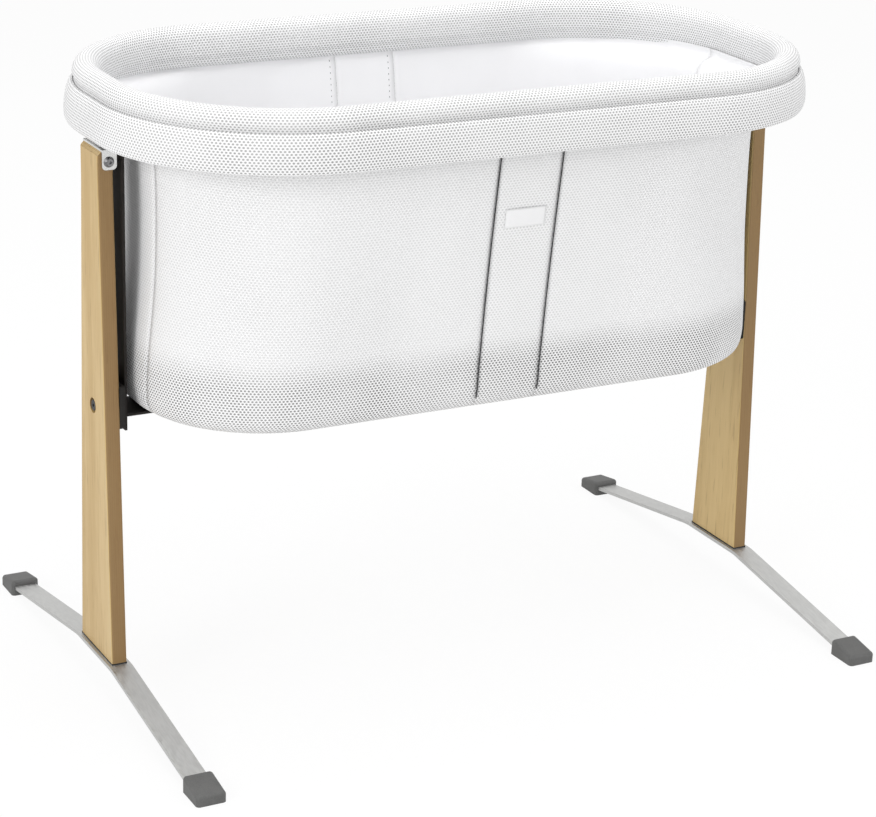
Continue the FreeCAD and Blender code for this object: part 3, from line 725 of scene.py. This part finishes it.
@dataclass(frozen=True)
class Metal:
    """Bare or plated steel with fine rubbed streaks."""

    name: str
    colour: Colour
    worn: Colour
    rough: float
    rough_spread: tuple[float, float] = (0.8, 1.25)
    streak: float = 600.0
    stretch: Point = (1.0, 0.03, 1.0)
    bump: tuple[float, float] = (0.05, 0.0002)

    def make(self) -> bpy.types.Material:
        """Build the material.

        Returns:
            The finished material.
        """
        material, w, shader = start_material(self.name)
        stretch = w.add("ShaderNodeMapping")
        stretch.inputs["Scale"].default_value = self.stretch
        w.link(w.place(), stretch.inputs["Vector"])
        rub = w.group(SPECKLE, Place=stretch.outputs[0], Scale=self.streak)
        w.link(w.mix(rub.outputs["Tone"], self.colour, self.worn), shader.inputs["Base Color"])
        low, high = (self.rough * share for share in self.rough_spread)
        w.link(w.ramp(rub.outputs["Height"], 0.2, 0.8, low, high), shader.inputs["Roughness"])
        set_plain(shader, {"Metallic": 1.0})
        raise_bump(w, shader, rub.outputs["Height"], *self.bump)
        return material


@dataclass(frozen=True)
class Moulded:
    """Rubber, plastic or powder coat with a fine grain."""

    name: str
    colour: Colour
    pale: Colour
    rough: float
    rough_spread: tuple[float, float] = (0.9, 1.1)
    grain: float = 900.0
    grain_share: float = 0.35
    patch: float = 35.0
    patch_share: float = 0.4
    bump: tuple[float, float] = (0.12, 0.0003)
    shine: float = 0.5

    def make(self) -> bpy.types.Material:
        """Build the material.

        Returns:
            The finished material.
        """
        material, w, shader = start_material(self.name)
        place = w.place()
        fine = w.group(SPECKLE, Place=place, Scale=self.grain)
        broad = w.group(SPECKLE, Place=place, Scale=self.patch)
        share = w.math("ADD", w.math("MULTIPLY", fine.outputs["Tone"], self.grain_share),
                       w.math("MULTIPLY", broad.outputs["Tone"], self.patch_share))
        w.link(w.mix(share, self.colour, self.pale), shader.inputs["Base Color"])
        low, high = (self.rough * part for part in self.rough_spread)
        w.link(w.ramp(broad.outputs["Height"], 0.2, 0.8, low, high), shader.inputs["Roughness"])
        set_plain(shader, {"Specular IOR Level": self.shine})
        raise_bump(w, shader, fine.outputs["Height"], *self.bump)
        return material


class Finishes:
    """Every finish of the cradle, made once."""

    def __init__(self) -> None:
        """Build the materials."""
        # the tub mesh has a band of painted shade along the bottom of its wall
        self.tub_mesh = MeshCloth(
            "tub mesh", thread=(0.86, 0.86, 0.865), hole=(0.12, 0.12, 0.115), pitch=0.0038,
            row=0.0027, hole_share=0.38, depth=0.26, shade_band=0.092, shade_band_depth=0.9).make()
        self.rim_mesh = MeshCloth(
            "rim mesh", thread=(0.86, 0.86, 0.865), hole=(0.19, 0.19, 0.185), pitch=0.0036,
            row=0.0027, hole_share=0.36, depth=0.78).make()
        self.lining = PlainCloth("tub lining", (0.89, 0.89, 0.90), (0.84, 0.84, 0.855)).make()
        self.cover = PlainCloth("mattress cover", (0.86, 0.86, 0.87), (0.78, 0.78, 0.79),
                                rib=0.0016).make()
        self.label = PlainCloth("label cloth", (0.88, 0.88, 0.885), (0.80, 0.80, 0.81),
                                rib=0.0008).make()
        self.binding = PlainCloth("dark binding", (0.018, 0.018, 0.020), (0.05, 0.05, 0.055),
                                  rib=0.0008).make()
        self.beech = LaminatedBeech(
            "laminated beech", pale=(0.60, 0.435, 0.195), dark=(0.48, 0.325, 0.130),
            glue=(0.20, 0.110, 0.042), layer=0.0023).make()
        self.plywood = LaminatedBeech(
            "birch plywood", pale=(0.68, 0.53, 0.35), dark=(0.56, 0.41, 0.25),
            glue=(0.34, 0.22, 0.12), layer=0.5).make()
        self.spring = Metal("spring steel", (0.48, 0.48, 0.472), (0.56, 0.56, 0.55), 0.5).make()
        self.bright = Metal("bright steel", (0.62, 0.62, 0.61), (0.74, 0.74, 0.73), 0.28).make()
        self.zinc = Metal("zinc plate", (0.52, 0.52, 0.51), (0.70, 0.70, 0.68), 0.3).make()
        self.dull = Metal("dull bolt steel", (0.15, 0.15, 0.155), (0.30, 0.30, 0.305), 0.3).make()
        self.oxide = Metal("black oxide steel", (0.020, 0.020, 0.021), (0.05, 0.05, 0.052),
                           0.4).make()
        self.cap = Moulded("foot cap rubber", (0.085, 0.085, 0.083), (0.135, 0.135, 0.132),
                           0.6).make()
        self.gasket = Moulded("gasket rubber", (0.010, 0.010, 0.010), (0.022, 0.022, 0.022),
                              0.7).make()
        self.guide = Moulded("guide plastic", (0.012, 0.011, 0.010), (0.028, 0.026, 0.024),
                             0.5, shine=0.15).make()
        self.bush = Moulded("bush plastic", (0.74, 0.74, 0.72), (0.82, 0.82, 0.80), 0.4).make()
        self.coat = Moulded("black powder coat", (0.012, 0.010, 0.009), (0.03, 0.026, 0.023),
                            0.55, grain=700.0, bump=(0.2, 0.0003), shine=0.15).make()


def dress(obj: bpy.types.Object, *materials: bpy.types.Material) -> None:
    """Give an object its materials, leaving each face in its slot.

    Args:
        obj: the piece.
        materials: its materials in slot order.
    """
    slots = obj.data.materials
    for index, material in enumerate(materials):
        if index < len(slots):
            slots[index] = material
        else:
            slots.append(material)


def keep_piece(obj: bpy.types.Object, body: str, slot: str, *nodes: str) -> None:
    """Set a new piece on its body, in place of the CAD nodes it stands for.

    Args:
        obj: the piece.
        body: the body it moves with.
        slot: the record's material slot; not used.
        nodes: the CAD nodes it replaces.
    """
    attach(obj, body)
    if nodes:
        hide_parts(*nodes)
    LOG.info("%s rides on %s, stands for %s", obj.name, body, ", ".join(nodes) or "no node")


# Sub-assemblies


@dataclass
class Stand:
    """Legs, feet, hangers, ring and board: CAD nodes that only need their finish."""

    finish: Finishes
    ends: tuple[str, ...] = ("left", "right")

    def dress(self) -> None:
        """Give every rigid node its finish."""
        kit = self.finish
        stems = {
            "leg": kit.beech, "foot_bar": kit.spring, "foot_gasket": kit.gasket,
            "foot_cap_front": kit.cap, "foot_cap_back": kit.cap, "foot_screws": kit.zinc,
            "saddle": kit.bright, "saddle_bolts": kit.dull, "pivot_pin": kit.zinc,
            "pivot_clip": kit.zinc, "guide_block": kit.guide, "guide_bolt": kit.oxide,
            "guide_washer": kit.bright, "guide_pin": kit.zinc, "hanger_strip": kit.coat,
            "pivot_bush": kit.bush, "board_screws": kit.zinc,
        }
        table = {"%s_%s" % (stem, end): stems[stem] for stem in stems for end in self.ends}
        table.update(rim_ring=kit.coat, base_board=kit.plywood)
        for node, material in table.items():
            dress(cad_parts[node], material)
            LOG.info("%s dressed in %s", node, material.name)


@dataclass
class Tub:
    """Mesh tub of sewn panels, with piping, label, stitches and cloth bottom."""

    finish: Finishes
    heights: tuple[float, ...] = millimetres(305, 318, 360, 460, 575, 597.5, 607)
    long_halves: tuple[float, ...] = millimetres(336, 349.5, 350.5, 342, 343, 356.5, 357.5)
    wide_halves: tuple[float, ...] = millimetres(138, 153, 158, 170, 187, 193, 193.5)
    corners: tuple[float, ...] = millimetres(124, 138, 146, 161, 180, 165, 166)
    height_samples: int = 200
    seam_x: float = 0.035
    seam_y: float = 0.045
    thick: float = 0.002
    rows: int = 72
    step: float = 0.006
    fewest_columns: int = 8
    count_share: float = 0.6
    seam_dip: float = 0.0008
    seam_reach: float = 0.004
    ripple: float = 0.0007
    ripple_fade: float = 0.7
    ripple_reach: float = 0.03
    # strength, length along the wall, length up the wall, phase
    ripple_waves: tuple[tuple[float, ...], ...] = (
        (1.0, 0.19, 0.33, 0.6), (0.6, 0.083, -0.41, 1.9))
    tape_edge: float = 0.55
    tape_core: float = 0.5
    piping_half: float = 0.0007
    piping_stand: tuple[float, float] = (-0.0004, 0.0007)
    piping_shares: tuple[float, float] = (0.175, 0.84)
    piping_rows: int = 60
    label_half: float = 0.0225
    label_heights: tuple[float, float] = (0.501, 0.521)
    label_stand: tuple[float, float] = (0.0002, 0.0010)
    label_search: int = 400
    label_rows: int = 10
    label_columns: int = 16
    stitch_pitch: float = 0.0062
    stitch_size: tuple[float, float, float] = (0.0009, 0.0021, 0.0006)
    stitch_margins: tuple[float, float] = (0.058, 0.003)
    stitch_sides: int = 6
    bottom_inset: float = 0.0024
    bottom_lift: float = 0.0001
    bottom_sag: float = 0.00018
    bottom_rings: int = 26
    bottom_around: int = 160

    def level(self, share: float) -> tuple[float, Oval]:
        """Height and outline part of the way up the wall.

        Args:
            share: 0 at the bottom edge, 1 under the rim.

        Returns:
            The height and the oval there.
        """
        table = np.array([self.heights, self.long_halves, self.wide_halves, self.corners]).T
        spans = len(table) - 1
        k = min(int(share * spans), spans - 1)
        t = share * spans - k
        before, after = table[max(k - 1, 0)], table[min(k + 2, spans)]
        a, b = table[k], table[k + 1]
        values = 0.5 * (2 * a + (b - before) * t + (2 * before - 5 * a + 4 * b - after) * t ** 2
                        + (3 * a - before - 3 * b + after) * t ** 3)
        return float(values[0]), Oval(*(float(v) for v in values[1:]))

    def reach(self, oval: Oval, face: Face, part: Part | None) -> tuple[float, float]:
        """Where a panel starts and ends along the outline.

        Args:
            oval: the outline.
            face: the long side, or the side the walk starts from for an end panel.
            part: the panel of that side; None for the end panel after it.

        Returns:
            Two runs along the outline.
        """
        middle, end = oval.middle_run(face), oval.run_to_end_seam(self.seam_y)
        if part is None:
            return middle + end, middle + 2 * oval.quarter - end
        if part is Part.CENTRE:
            return middle - self.seam_x, middle + self.seam_x
        if (part is Part.RIGHT) == (face is Face.FRONT):
            return middle + self.seam_x, middle + end
        return middle - end, middle - self.seam_x

    def relief(self, runs: np.ndarray, height: float, share: float, edge: np.ndarray
               ) -> np.ndarray:
        """Slack of the stretched cloth, none at its sewn edges.

        Args:
            runs: places along the outline.
            height: height of the row.
            share: how far up the wall the row is.
            edge: distance to the nearer side seam.

        Returns:
            How far the cloth stands out.
        """
        calm = math.sin(math.pi * min(max(share, 0.0), 1.0)) ** self.ripple_fade
        slack = sum(strong * np.sin(2 * math.pi * (runs / along + height / up) + phase)
                    for strong, along, up, phase in self.ripple_waves)
        fade = 1 - np.exp(-(edge / self.ripple_reach) ** 2)
        dip = np.exp(-(edge / self.seam_reach) ** 2)
        return self.ripple * calm * slack * fade - self.seam_dip * dip

    def panel_grid(self, face: Face, part: Part | None) -> tuple[np.ndarray, np.ndarray]:
        """Points and weave coordinates of one panel.

        Args:
            face: the long side.
            part: the panel, or None for an end.

        Returns:
            Two grids, one row for each height.
        """
        low, high = self.reach(self.level(self.count_share)[1], face, part)
        cols = max(int((high - low) / self.step), self.fewest_columns)
        shares = np.linspace(0, 1, cols + 1)
        points, weave = [], []
        climbed, last = 0.0, None
        for share in np.linspace(0, 1, self.rows + 1):
            z, oval = self.level(share)
            start, stop = self.reach(oval, face, part)
            runs = start + (stop - start) * shares
            edge = np.minimum(runs - start, stop - runs)
            plan, normal = oval.trace(runs)
            row = at_height(plan + normal * self.relief(runs, z, share, edge)[:, None], z)
            if last is not None:
                climbed += float(np.mean(np.linalg.norm(row - last, axis=1)))
            last = row
            points.append(row)
            weave.append(at_height(runs, climbed))
        return np.array(points), np.array(weave)

    def build_panels(self) -> None:
        """Sew every wall panel."""
        jobs = [("tub_%s_%s" % (f.value, p.value), f, p) for f in Face for p in Part]
        jobs += [("tub_end_right", Face.FRONT, None), ("tub_end_left", Face.BACK, None)]
        for node, face, part in jobs:
            grid, weave = self.panel_grid(face, part)
            cloth = cloth_shell(node + "_cloth", grid, self.thick, weave)
            dress(cloth, self.finish.tub_mesh, self.finish.lining)
            keep_piece(cloth, BED, "white_mesh", node)

    def strip(self, name: str, face: Face, low: float, high: float, shares: np.ndarray,
              stand: tuple[float, float], columns: int = 4) -> bpy.types.Object:
        """A narrow tape lying on the wall.

        Args:
            name: the piece's name.
            face: the long side it lies on.
            low: where it starts along the outline from the side's middle.
            high: where it ends.
            shares: how far up the wall its rows are.
            stand: how far its two faces stand off the wall.
            columns: faces across it.

        Returns:
            The tape.
        """
        points, weave = [], []
        across = np.linspace(0, 1, columns + 1)
        crown = 1 - (2 * across - 1) ** 2
        out = stand[1] * (self.tape_edge + (1 - self.tape_edge) * crown)
        for share in shares:
            z, oval = self.level(share)
            runs = oval.middle_run(face) + low + (high - low) * across
            plan, normal = oval.trace(runs)
            points.append(at_height(plan + normal * out[:, None], z))
            weave.append(at_height(runs, z))
        thick = stand[1] * self.tape_core - stand[0]
        return cloth_shell(name, np.array(points), thick, np.array(weave))

    def build_piping(self) -> None:
        """Lay the dark piping over the four long-side seams."""
        shares = np.linspace(*self.piping_shares, self.piping_rows)
        for face in Face:
            tapes = []
            for tag, x in (("a", -self.seam_x), ("b", self.seam_x)):
                tape = self.strip("seam_piping_%s_%s" % (face.value, tag), face,
                                  x - self.piping_half, x + self.piping_half, shares,
                                  self.piping_stand)
                dress(tape, self.finish.binding, self.finish.binding)
                tapes.append(tape)
            keep_piece(tapes[0], BED, "black_binding", "seam_piping_%s" % face.value)
            keep_piece(tapes[1], BED, "black_binding")

    def build_label(self) -> None:
        """Sew the blank label to the front centre panel."""
        bottom, top = self.label_heights
        span = [s for s in np.linspace(0, 1, self.label_search)
                if bottom <= self.level(s)[0] <= top]
        label = self.strip("blank_label_cloth", Face.FRONT, -self.label_half, self.label_half,
                           np.linspace(span[0], span[-1], self.label_rows), self.label_stand,
                           self.label_columns)
        dress(label, self.finish.label, self.finish.label)
        keep_piece(label, BED, "label_cloth", "blank_label")

    def build_stitches(self) -> None:
        """Sew the stitches that show inside the tub."""
        for face in Face:
            stitches = self.stitch_rows("seam_stitches_%s" % face.value, face)
            dress(stitches, self.finish.binding)
            keep_piece(stitches, BED, "black_binding")

    def stitch_rows(self, name: str, face: Face) -> bpy.types.Object:
        """Short dark stitches down both inner seams of a long side.

        Args:
            name: the piece's name.
            face: the long side.

        Returns:
            One object holding all the stitches.
        """
        sides, points, faces = self.stitch_sides, [], []
        wide, tall, deep = self.stitch_size
        below, above = self.stitch_margins
        rises = np.arange(self.heights[1] + below, self.heights[-1] - above, self.stitch_pitch)
        table = self.height_table()
        for x, z in [(x, z) for x in (-self.seam_x, self.seam_x) for z in rises]:
            _, oval = self.level(float(np.interp(z, *table)))
            plan, normal = oval.grown(-self.thick).trace(np.array([oval.middle_run(face) + x]))
            centre = Vector((*plan[0], z))
            inward = Vector((*(-normal[0]), 0.0))
            side = Vector((0, 0, 1)).cross(inward)
            base = len(points)
            for k in range(sides):
                a = 2 * math.pi * k / sides
                rim = centre + side * wide * math.cos(a) + Vector((0, 0, tall * math.sin(a)))
                points.append(rim - inward * deep)
            points.append(centre + inward * deep)
            points.append(centre - inward * deep * 2)
            for k in range(sides):
                n = (k + 1) % sides
                faces.append((base + k, base + n, base + sides))
                faces.append((base + n, base + k, base + sides + 1))
        return mesh_object(name, np.array([tuple(p) for p in points]), faces)

    def height_table(self) -> tuple[np.ndarray, np.ndarray]:
        """Heights and the shares up the wall they stand for."""
        shares = np.linspace(0, 1, self.height_samples)
        return np.array([self.level(s)[0] for s in shares]), shares

    def build_bottom(self) -> None:
        """Lay the cloth bottom that closes the tub below the board."""
        z = self.heights[0]
        edge = Oval(self.long_halves[0], self.wide_halves[0], self.corners[0])
        plan = edge.grown(-self.bottom_inset)
        insets = np.linspace(plan.wide_half, 0, self.bottom_rings)
        sag = self.bottom_sag * np.sin(math.pi * insets / insets[0])
        under = list(zip(insets, z + self.bottom_lift - sag))
        above = list(zip(insets[::-1], z + self.thick - sag[::-1]))
        bottom = layered_pad("tub_bottom_cloth", plan, under + above, self.bottom_around)
        dress(bottom, self.finish.lining)
        keep_piece(bottom, BED, "white_mesh", "tub_bottom")


@dataclass
class Rim:
    """Padded roll round the ring tube, and the skirt below its groove."""

    finish: Finishes
    ring: Oval = Oval(0.3685, 0.195, 0.168)
    middle: float = 0.6205
    half_thick: float = 0.0140
    half_tall: float = 0.0225
    fullness: float = 2.5
    groove_height: float = 0.6235
    groove_deep: float = 0.0034
    groove_wide: float = 0.0046
    crease_height: float = 0.6075
    crease_deep: float = 0.0016
    crease_wide: float = 0.0022
    puff: float = 0.0006
    # strength, waves in a lap, weight of the shift
    puff_waves: tuple[tuple[float, ...], ...] = ((0.5, 7, 1.0), (0.3, 17, 2.1), (0.2, 31, 3.7))
    roll_shift: float = 0.8
    skirt_shift: float = 2.3
    around: int = 520
    section: int = 56
    # distance out of the ring line and height, in millimetres
    skirt_line: tuple[tuple[float, float], ...] = (
        (12.0, 622.8), (14.4, 622.2), (16.6, 618.6), (18.4, 612.0), (19.6, 604.0),
        (20.3, 595.0), (20.0, 588.6), (18.9, 584.4), (17.0, 583.0), (15.4, 584.6),
        (14.9, 589.0), (14.9, 597.0), (14.9, 607.0), (14.6, 613.0), (13.4, 618.0))
    skirt_root: float = 0.012
    skirt_smoothing: int = 2
    end_flare: float = 0.22
    end_drop: float = 0.001

    def walk(self) -> tuple[np.ndarray, np.ndarray, np.ndarray]:
        """Walk once round the ring.

        Returns:
            Runs, plan points and normals.
        """
        runs = np.arange(self.around) / self.around * 4 * self.ring.quarter
        plan, normal = self.ring.trace(runs)
        return runs, plan, normal

    def soft_wave(self, runs: np.ndarray, shift: float) -> np.ndarray:
        """Slow uneven puffing round the rim that closes on itself.

        Args:
            runs: places along the ring.
            shift: what sets one wave off from another.

        Returns:
            A value between -1 and 1 at each place.
        """
        turn = runs / (4 * self.ring.quarter) * 2 * math.pi
        return sum(strong * np.sin(count * turn + weight * shift)
                   for strong, count, weight in self.puff_waves)

    def sweep(self, name: str, d: np.ndarray, z: np.ndarray) -> bpy.types.Object:
        """Sweep a section that may change round the ring.

        Args:
            name: the piece's name.
            d: how far out of the ring line each section point is, one row a place.
            z: the heights of the section points.

        Returns:
            The closed piece.
        """
        runs, plan, normal = self.walk()
        grid = np.concatenate([plan[:, None, :] + normal[:, None, :] * d[:, :, None],
                               z[:, :, None]], axis=2)
        mean = np.column_stack([d.mean(0), z.mean(0)])
        lengths = np.linalg.norm(np.diff(np.vstack([mean, mean[:1]]), axis=0), axis=1)
        climb = np.concatenate([[0], np.cumsum(lengths)])
        laps = np.append(runs, 4 * self.ring.quarter)
        weave = np.stack(np.meshgrid(laps, climb, indexing="ij"), -1)
        return closed_ring(name, grid, weave)

    def build_roll(self) -> None:
        """Pad the roll: full section, groove outside, sewn crease inside."""
        runs, _, _ = self.walk()
        turn = np.linspace(0, 2 * math.pi, self.section, endpoint=False)
        power = 2 / self.fullness
        d = self.half_thick * np.sign(np.cos(turn)) * np.abs(np.cos(turn)) ** power
        z = self.middle + self.half_tall * np.sign(np.sin(turn)) * np.abs(np.sin(turn)) ** power
        outside, inside = np.cos(turn) > 0, np.cos(turn) < 0
        groove = np.exp(-((z - self.groove_height) / self.groove_wide) ** 2)
        crease = np.exp(-((z - self.crease_height) / self.crease_wide) ** 2)
        d = d - outside * self.groove_deep * groove + inside * self.crease_deep * crease
        swell = 1 + self.puff / self.half_thick * self.soft_wave(runs, self.roll_shift)[:, None]
        roll = self.sweep("rim_roll_padding", d[None, :] * swell,
                          np.repeat(z[None, :], self.around, 0))
        dress(roll, self.finish.rim_mesh)
        keep_piece(roll, BED, "rim_mesh", "rim_roll")

    def build_skirt(self) -> None:
        """Hang the skirt, flared over the leg tops at both ends."""
        runs, _, normal = self.walk()
        line = np.array(self.skirt_line) / 1000.0
        closed = np.vstack([line, line[:1]])
        steps = np.concatenate([[0], np.cumsum(np.linalg.norm(np.diff(closed, axis=0), axis=1))])
        places = np.linspace(0, steps[-1], self.section, endpoint=False)
        d, z = (np.interp(places, steps, closed[:, k]) for k in (0, 1))
        for _ in range(self.skirt_smoothing):
            d, z = ((np.roll(a, 1) + 2 * a + np.roll(a, -1)) / 4 for a in (d, z))
        flare = 1 + self.end_flare * normal[:, 0] ** 2
        swell = self.puff * self.soft_wave(runs, self.skirt_shift)[:, None]
        down = np.clip((self.groove_height - z) / (self.groove_height - z.min()), 0, 1)
        root = self.skirt_root
        out = root + (d[None, :] - root) * flare[:, None] + swell * down
        height = z[None, :] - self.end_drop * (normal[:, 0] ** 4)[:, None] * down ** 2
        skirt = self.sweep("rim_skirt_padding", out, height)
        dress(skirt, self.finish.rim_mesh)
        keep_piece(skirt, BED, "rim_mesh", "rim_skirt")


@dataclass
class Mattress:
    """Loose foam mattress: crowned top, sides drawn in at a middle seam."""

    finish: Finishes
    plan: Oval = Oval(0.336, 0.142, 0.136)
    bottom: float = 0.3162
    crown: float = 0.3690
    # inset and rise up the side, in millimetres
    side_line: tuple[tuple[float, float], ...] = (
        (10.0, 0.0), (4.5, 1.5), (1.2, 5.3), (0.0, 10.3), (0.8, 16.3), (1.8, 21.8), (2.6, 24.3),
        (1.8, 26.8), (0.6, 32.3), (0.0, 36.3), (1.4, 40.3), (5.5, 44.8), (12.5, 47.8))
    flat_inset: float = 0.016
    flat_rings: int = 16
    crown_rings: int = 22
    around: int = 220

    def profile(self) -> list[tuple[float, float]]:
        """Insets and heights of the pad's outlines.

        Returns:
            Pairs from the bottom middle to the top middle.
        """
        half = self.plan.wide_half
        insets = np.linspace(half, self.flat_inset, self.flat_rings)
        flat = [(float(i), self.bottom) for i in insets]
        sides = [(inset / 1000.0, self.bottom + rise / 1000.0) for inset, rise in self.side_line]
        edge_inset, edge = sides[-1]
        top = []
        for i in np.linspace(edge_inset, half, self.crown_rings)[1:]:
            across = (half - i) / (half - edge_inset)
            top.append((float(i), edge + (self.crown - edge) * (1 - across ** 2)))
        return flat + sides + top

    def build(self) -> None:
        """Fill the mattress and cover it."""
        pad = layered_pad("mattress_cover", self.plan, self.profile(), self.around)
        dress(pad, self.finish.cover)
        keep_piece(pad, MATTRESS, "mattress_cloth", "mattress")


# Studio


@dataclass(frozen=True)
class Lamp:
    """A soft round lamp."""

    name: str
    place: Point
    size: float
    watts: float

    def hang(self, aim: Point) -> None:
        """Hang the lamp and point it.

        Args:
            aim: what it points at.
        """
        data = bpy.data.lights.new(self.name, "AREA")
        data.shape = "DISK"
        data.size = self.size
        data.energy = self.watts
        obj = bpy.data.objects.new(self.name, data)
        obj.location = self.place
        way = Vector(aim) - Vector(self.place)
        obj.rotation_euler = way.to_track_quat("-Z", "Y").to_euler()
        bpy.context.scene.collection.objects.link(obj)


@dataclass
class Studio:
    """Pale floor, soft lamps and the camera of the photograph."""

    frame_width: float = 876.0
    sensor: float = 36.0
    focal_pixels: float = 2608.7
    azimuth: float = -28.10
    elevation: float = 19.96
    roll: float = 1.78
    eye: Point = (-1.2360, -2.3225, 1.2067)
    floor_half: float = 14.0
    floor_colour: Colour = (0.93, 0.93, 0.93)
    floor_glow: float = 0.9
    world_colour: Colour = (1.0, 1.0, 1.0)
    world_strength: float = 0.68
    aim: Point = (0.0, 0.0, 0.4)
    lamps: tuple[Lamp, ...] = (
        Lamp("key", place=(-3.6, -1.5, 1.9), size=1.8, watts=50.0),
        Lamp("top", place=(0.1, -0.1, 3.0), size=2.4, watts=40.0),
        Lamp("fill", place=(2.4, -3.2, 1.5), size=2.4, watts=20.0))

    def camera(self) -> None:
        """Stand the camera where the photograph was taken from."""
        a, e, r = (math.radians(v) for v in (self.azimuth, self.elevation, self.roll))
        back = Vector((math.sin(a) * math.cos(e), -math.cos(a) * math.cos(e), math.sin(e)))
        right = (-back).cross(Vector((0, 0, 1))).normalized()
        up = right.cross(-back)
        across = right * math.cos(r) + up * math.sin(r)
        above = up * math.cos(r) - right * math.sin(r)
        data = bpy.data.cameras.new("photograph")
        data.sensor_width = self.sensor
        data.lens = self.focal_pixels * self.sensor / self.frame_width
        camera = bpy.data.objects.new("photograph", data)
        place = Matrix((across, above, back)).transposed().to_4x4()
        place.translation = Vector(self.eye)
        camera.matrix_world = place
        bpy.context.scene.collection.objects.link(camera)
        bpy.context.scene.camera = camera

    def seen_rays(self, w: Nodes) -> bpy.types.NodeSocket:
        """1 for rays that show the surroundings: straight, mirrored or through glass.

        Args:
            w: writer of the material or world that is seen.

        Returns:
            The socket that says so.
        """
        rays = w.add("ShaderNodeLightPath")
        mirrored = w.math("MAXIMUM", rays.outputs["Is Glossy Ray"],
                          rays.outputs["Is Transmission Ray"])
        return w.math("MAXIMUM", rays.outputs["Is Camera Ray"], mirrored)

    def floor(self) -> None:
        """Lay the pale floor, white to the camera but still taking shadows."""
        h = self.floor_half
        ground = mesh_object("floor", np.array([(-h, -h, 0), (h, -h, 0), (h, h, 0), (-h, h, 0)]),
                             [(0, 1, 2, 3)])
        material = bpy.data.materials.new("pale floor")
        material.use_nodes = True
        w = Nodes(material.node_tree)
        material.node_tree.nodes.clear()
        matt = w.add("ShaderNodeBsdfDiffuse")
        matt.inputs["Color"].default_value = (*self.floor_colour, 1.0)
        glow = w.add("ShaderNodeEmission")
        join = w.add("ShaderNodeMixShader")
        w.link(w.math("MULTIPLY", self.seen_rays(w), self.floor_glow), join.inputs[0])
        w.link(matt.outputs[0], join.inputs[1])
        w.link(glow.outputs[0], join.inputs[2])
        w.link(join.outputs[0], w.add("ShaderNodeOutputMaterial").inputs["Surface"])
        dress(ground, material)

    def light(self) -> None:
        """Set the even white surroundings and the lamps."""
        scene = bpy.context.scene
        scene.view_settings.view_transform = "Standard"
        scene.world = scene.world or bpy.data.worlds.new("studio")
        scene.world.use_nodes = True
        w = Nodes(scene.world.node_tree)
        sky = scene.world.node_tree.nodes["Background"]
        sky.inputs["Color"].default_value = (*self.world_colour, 1.0)
        w.link(w.math("MAXIMUM", self.seen_rays(w), self.world_strength), sky.inputs["Strength"])
        for lamp in self.lamps:
            lamp.hang(self.aim)

    def build(self) -> None:
        """Set up the whole studio."""
        self.camera()
        self.floor()
        self.light()


def main() -> None:
    """Build the cradle's looks in order."""
    logging.basicConfig(level=logging.INFO, format="%(message)s")
    finish = Finishes()
    Stand(finish).dress()
    tub = Tub(finish)
    tub.build_panels()
    tub.build_piping()
    tub.build_label()
    tub.build_stitches()
    tub.build_bottom()
    rim = Rim(finish)
    rim.build_roll()
    rim.build_skirt()
    Mattress(finish).build()
    Studio().build()


if __name__ == "__main__":
    main()
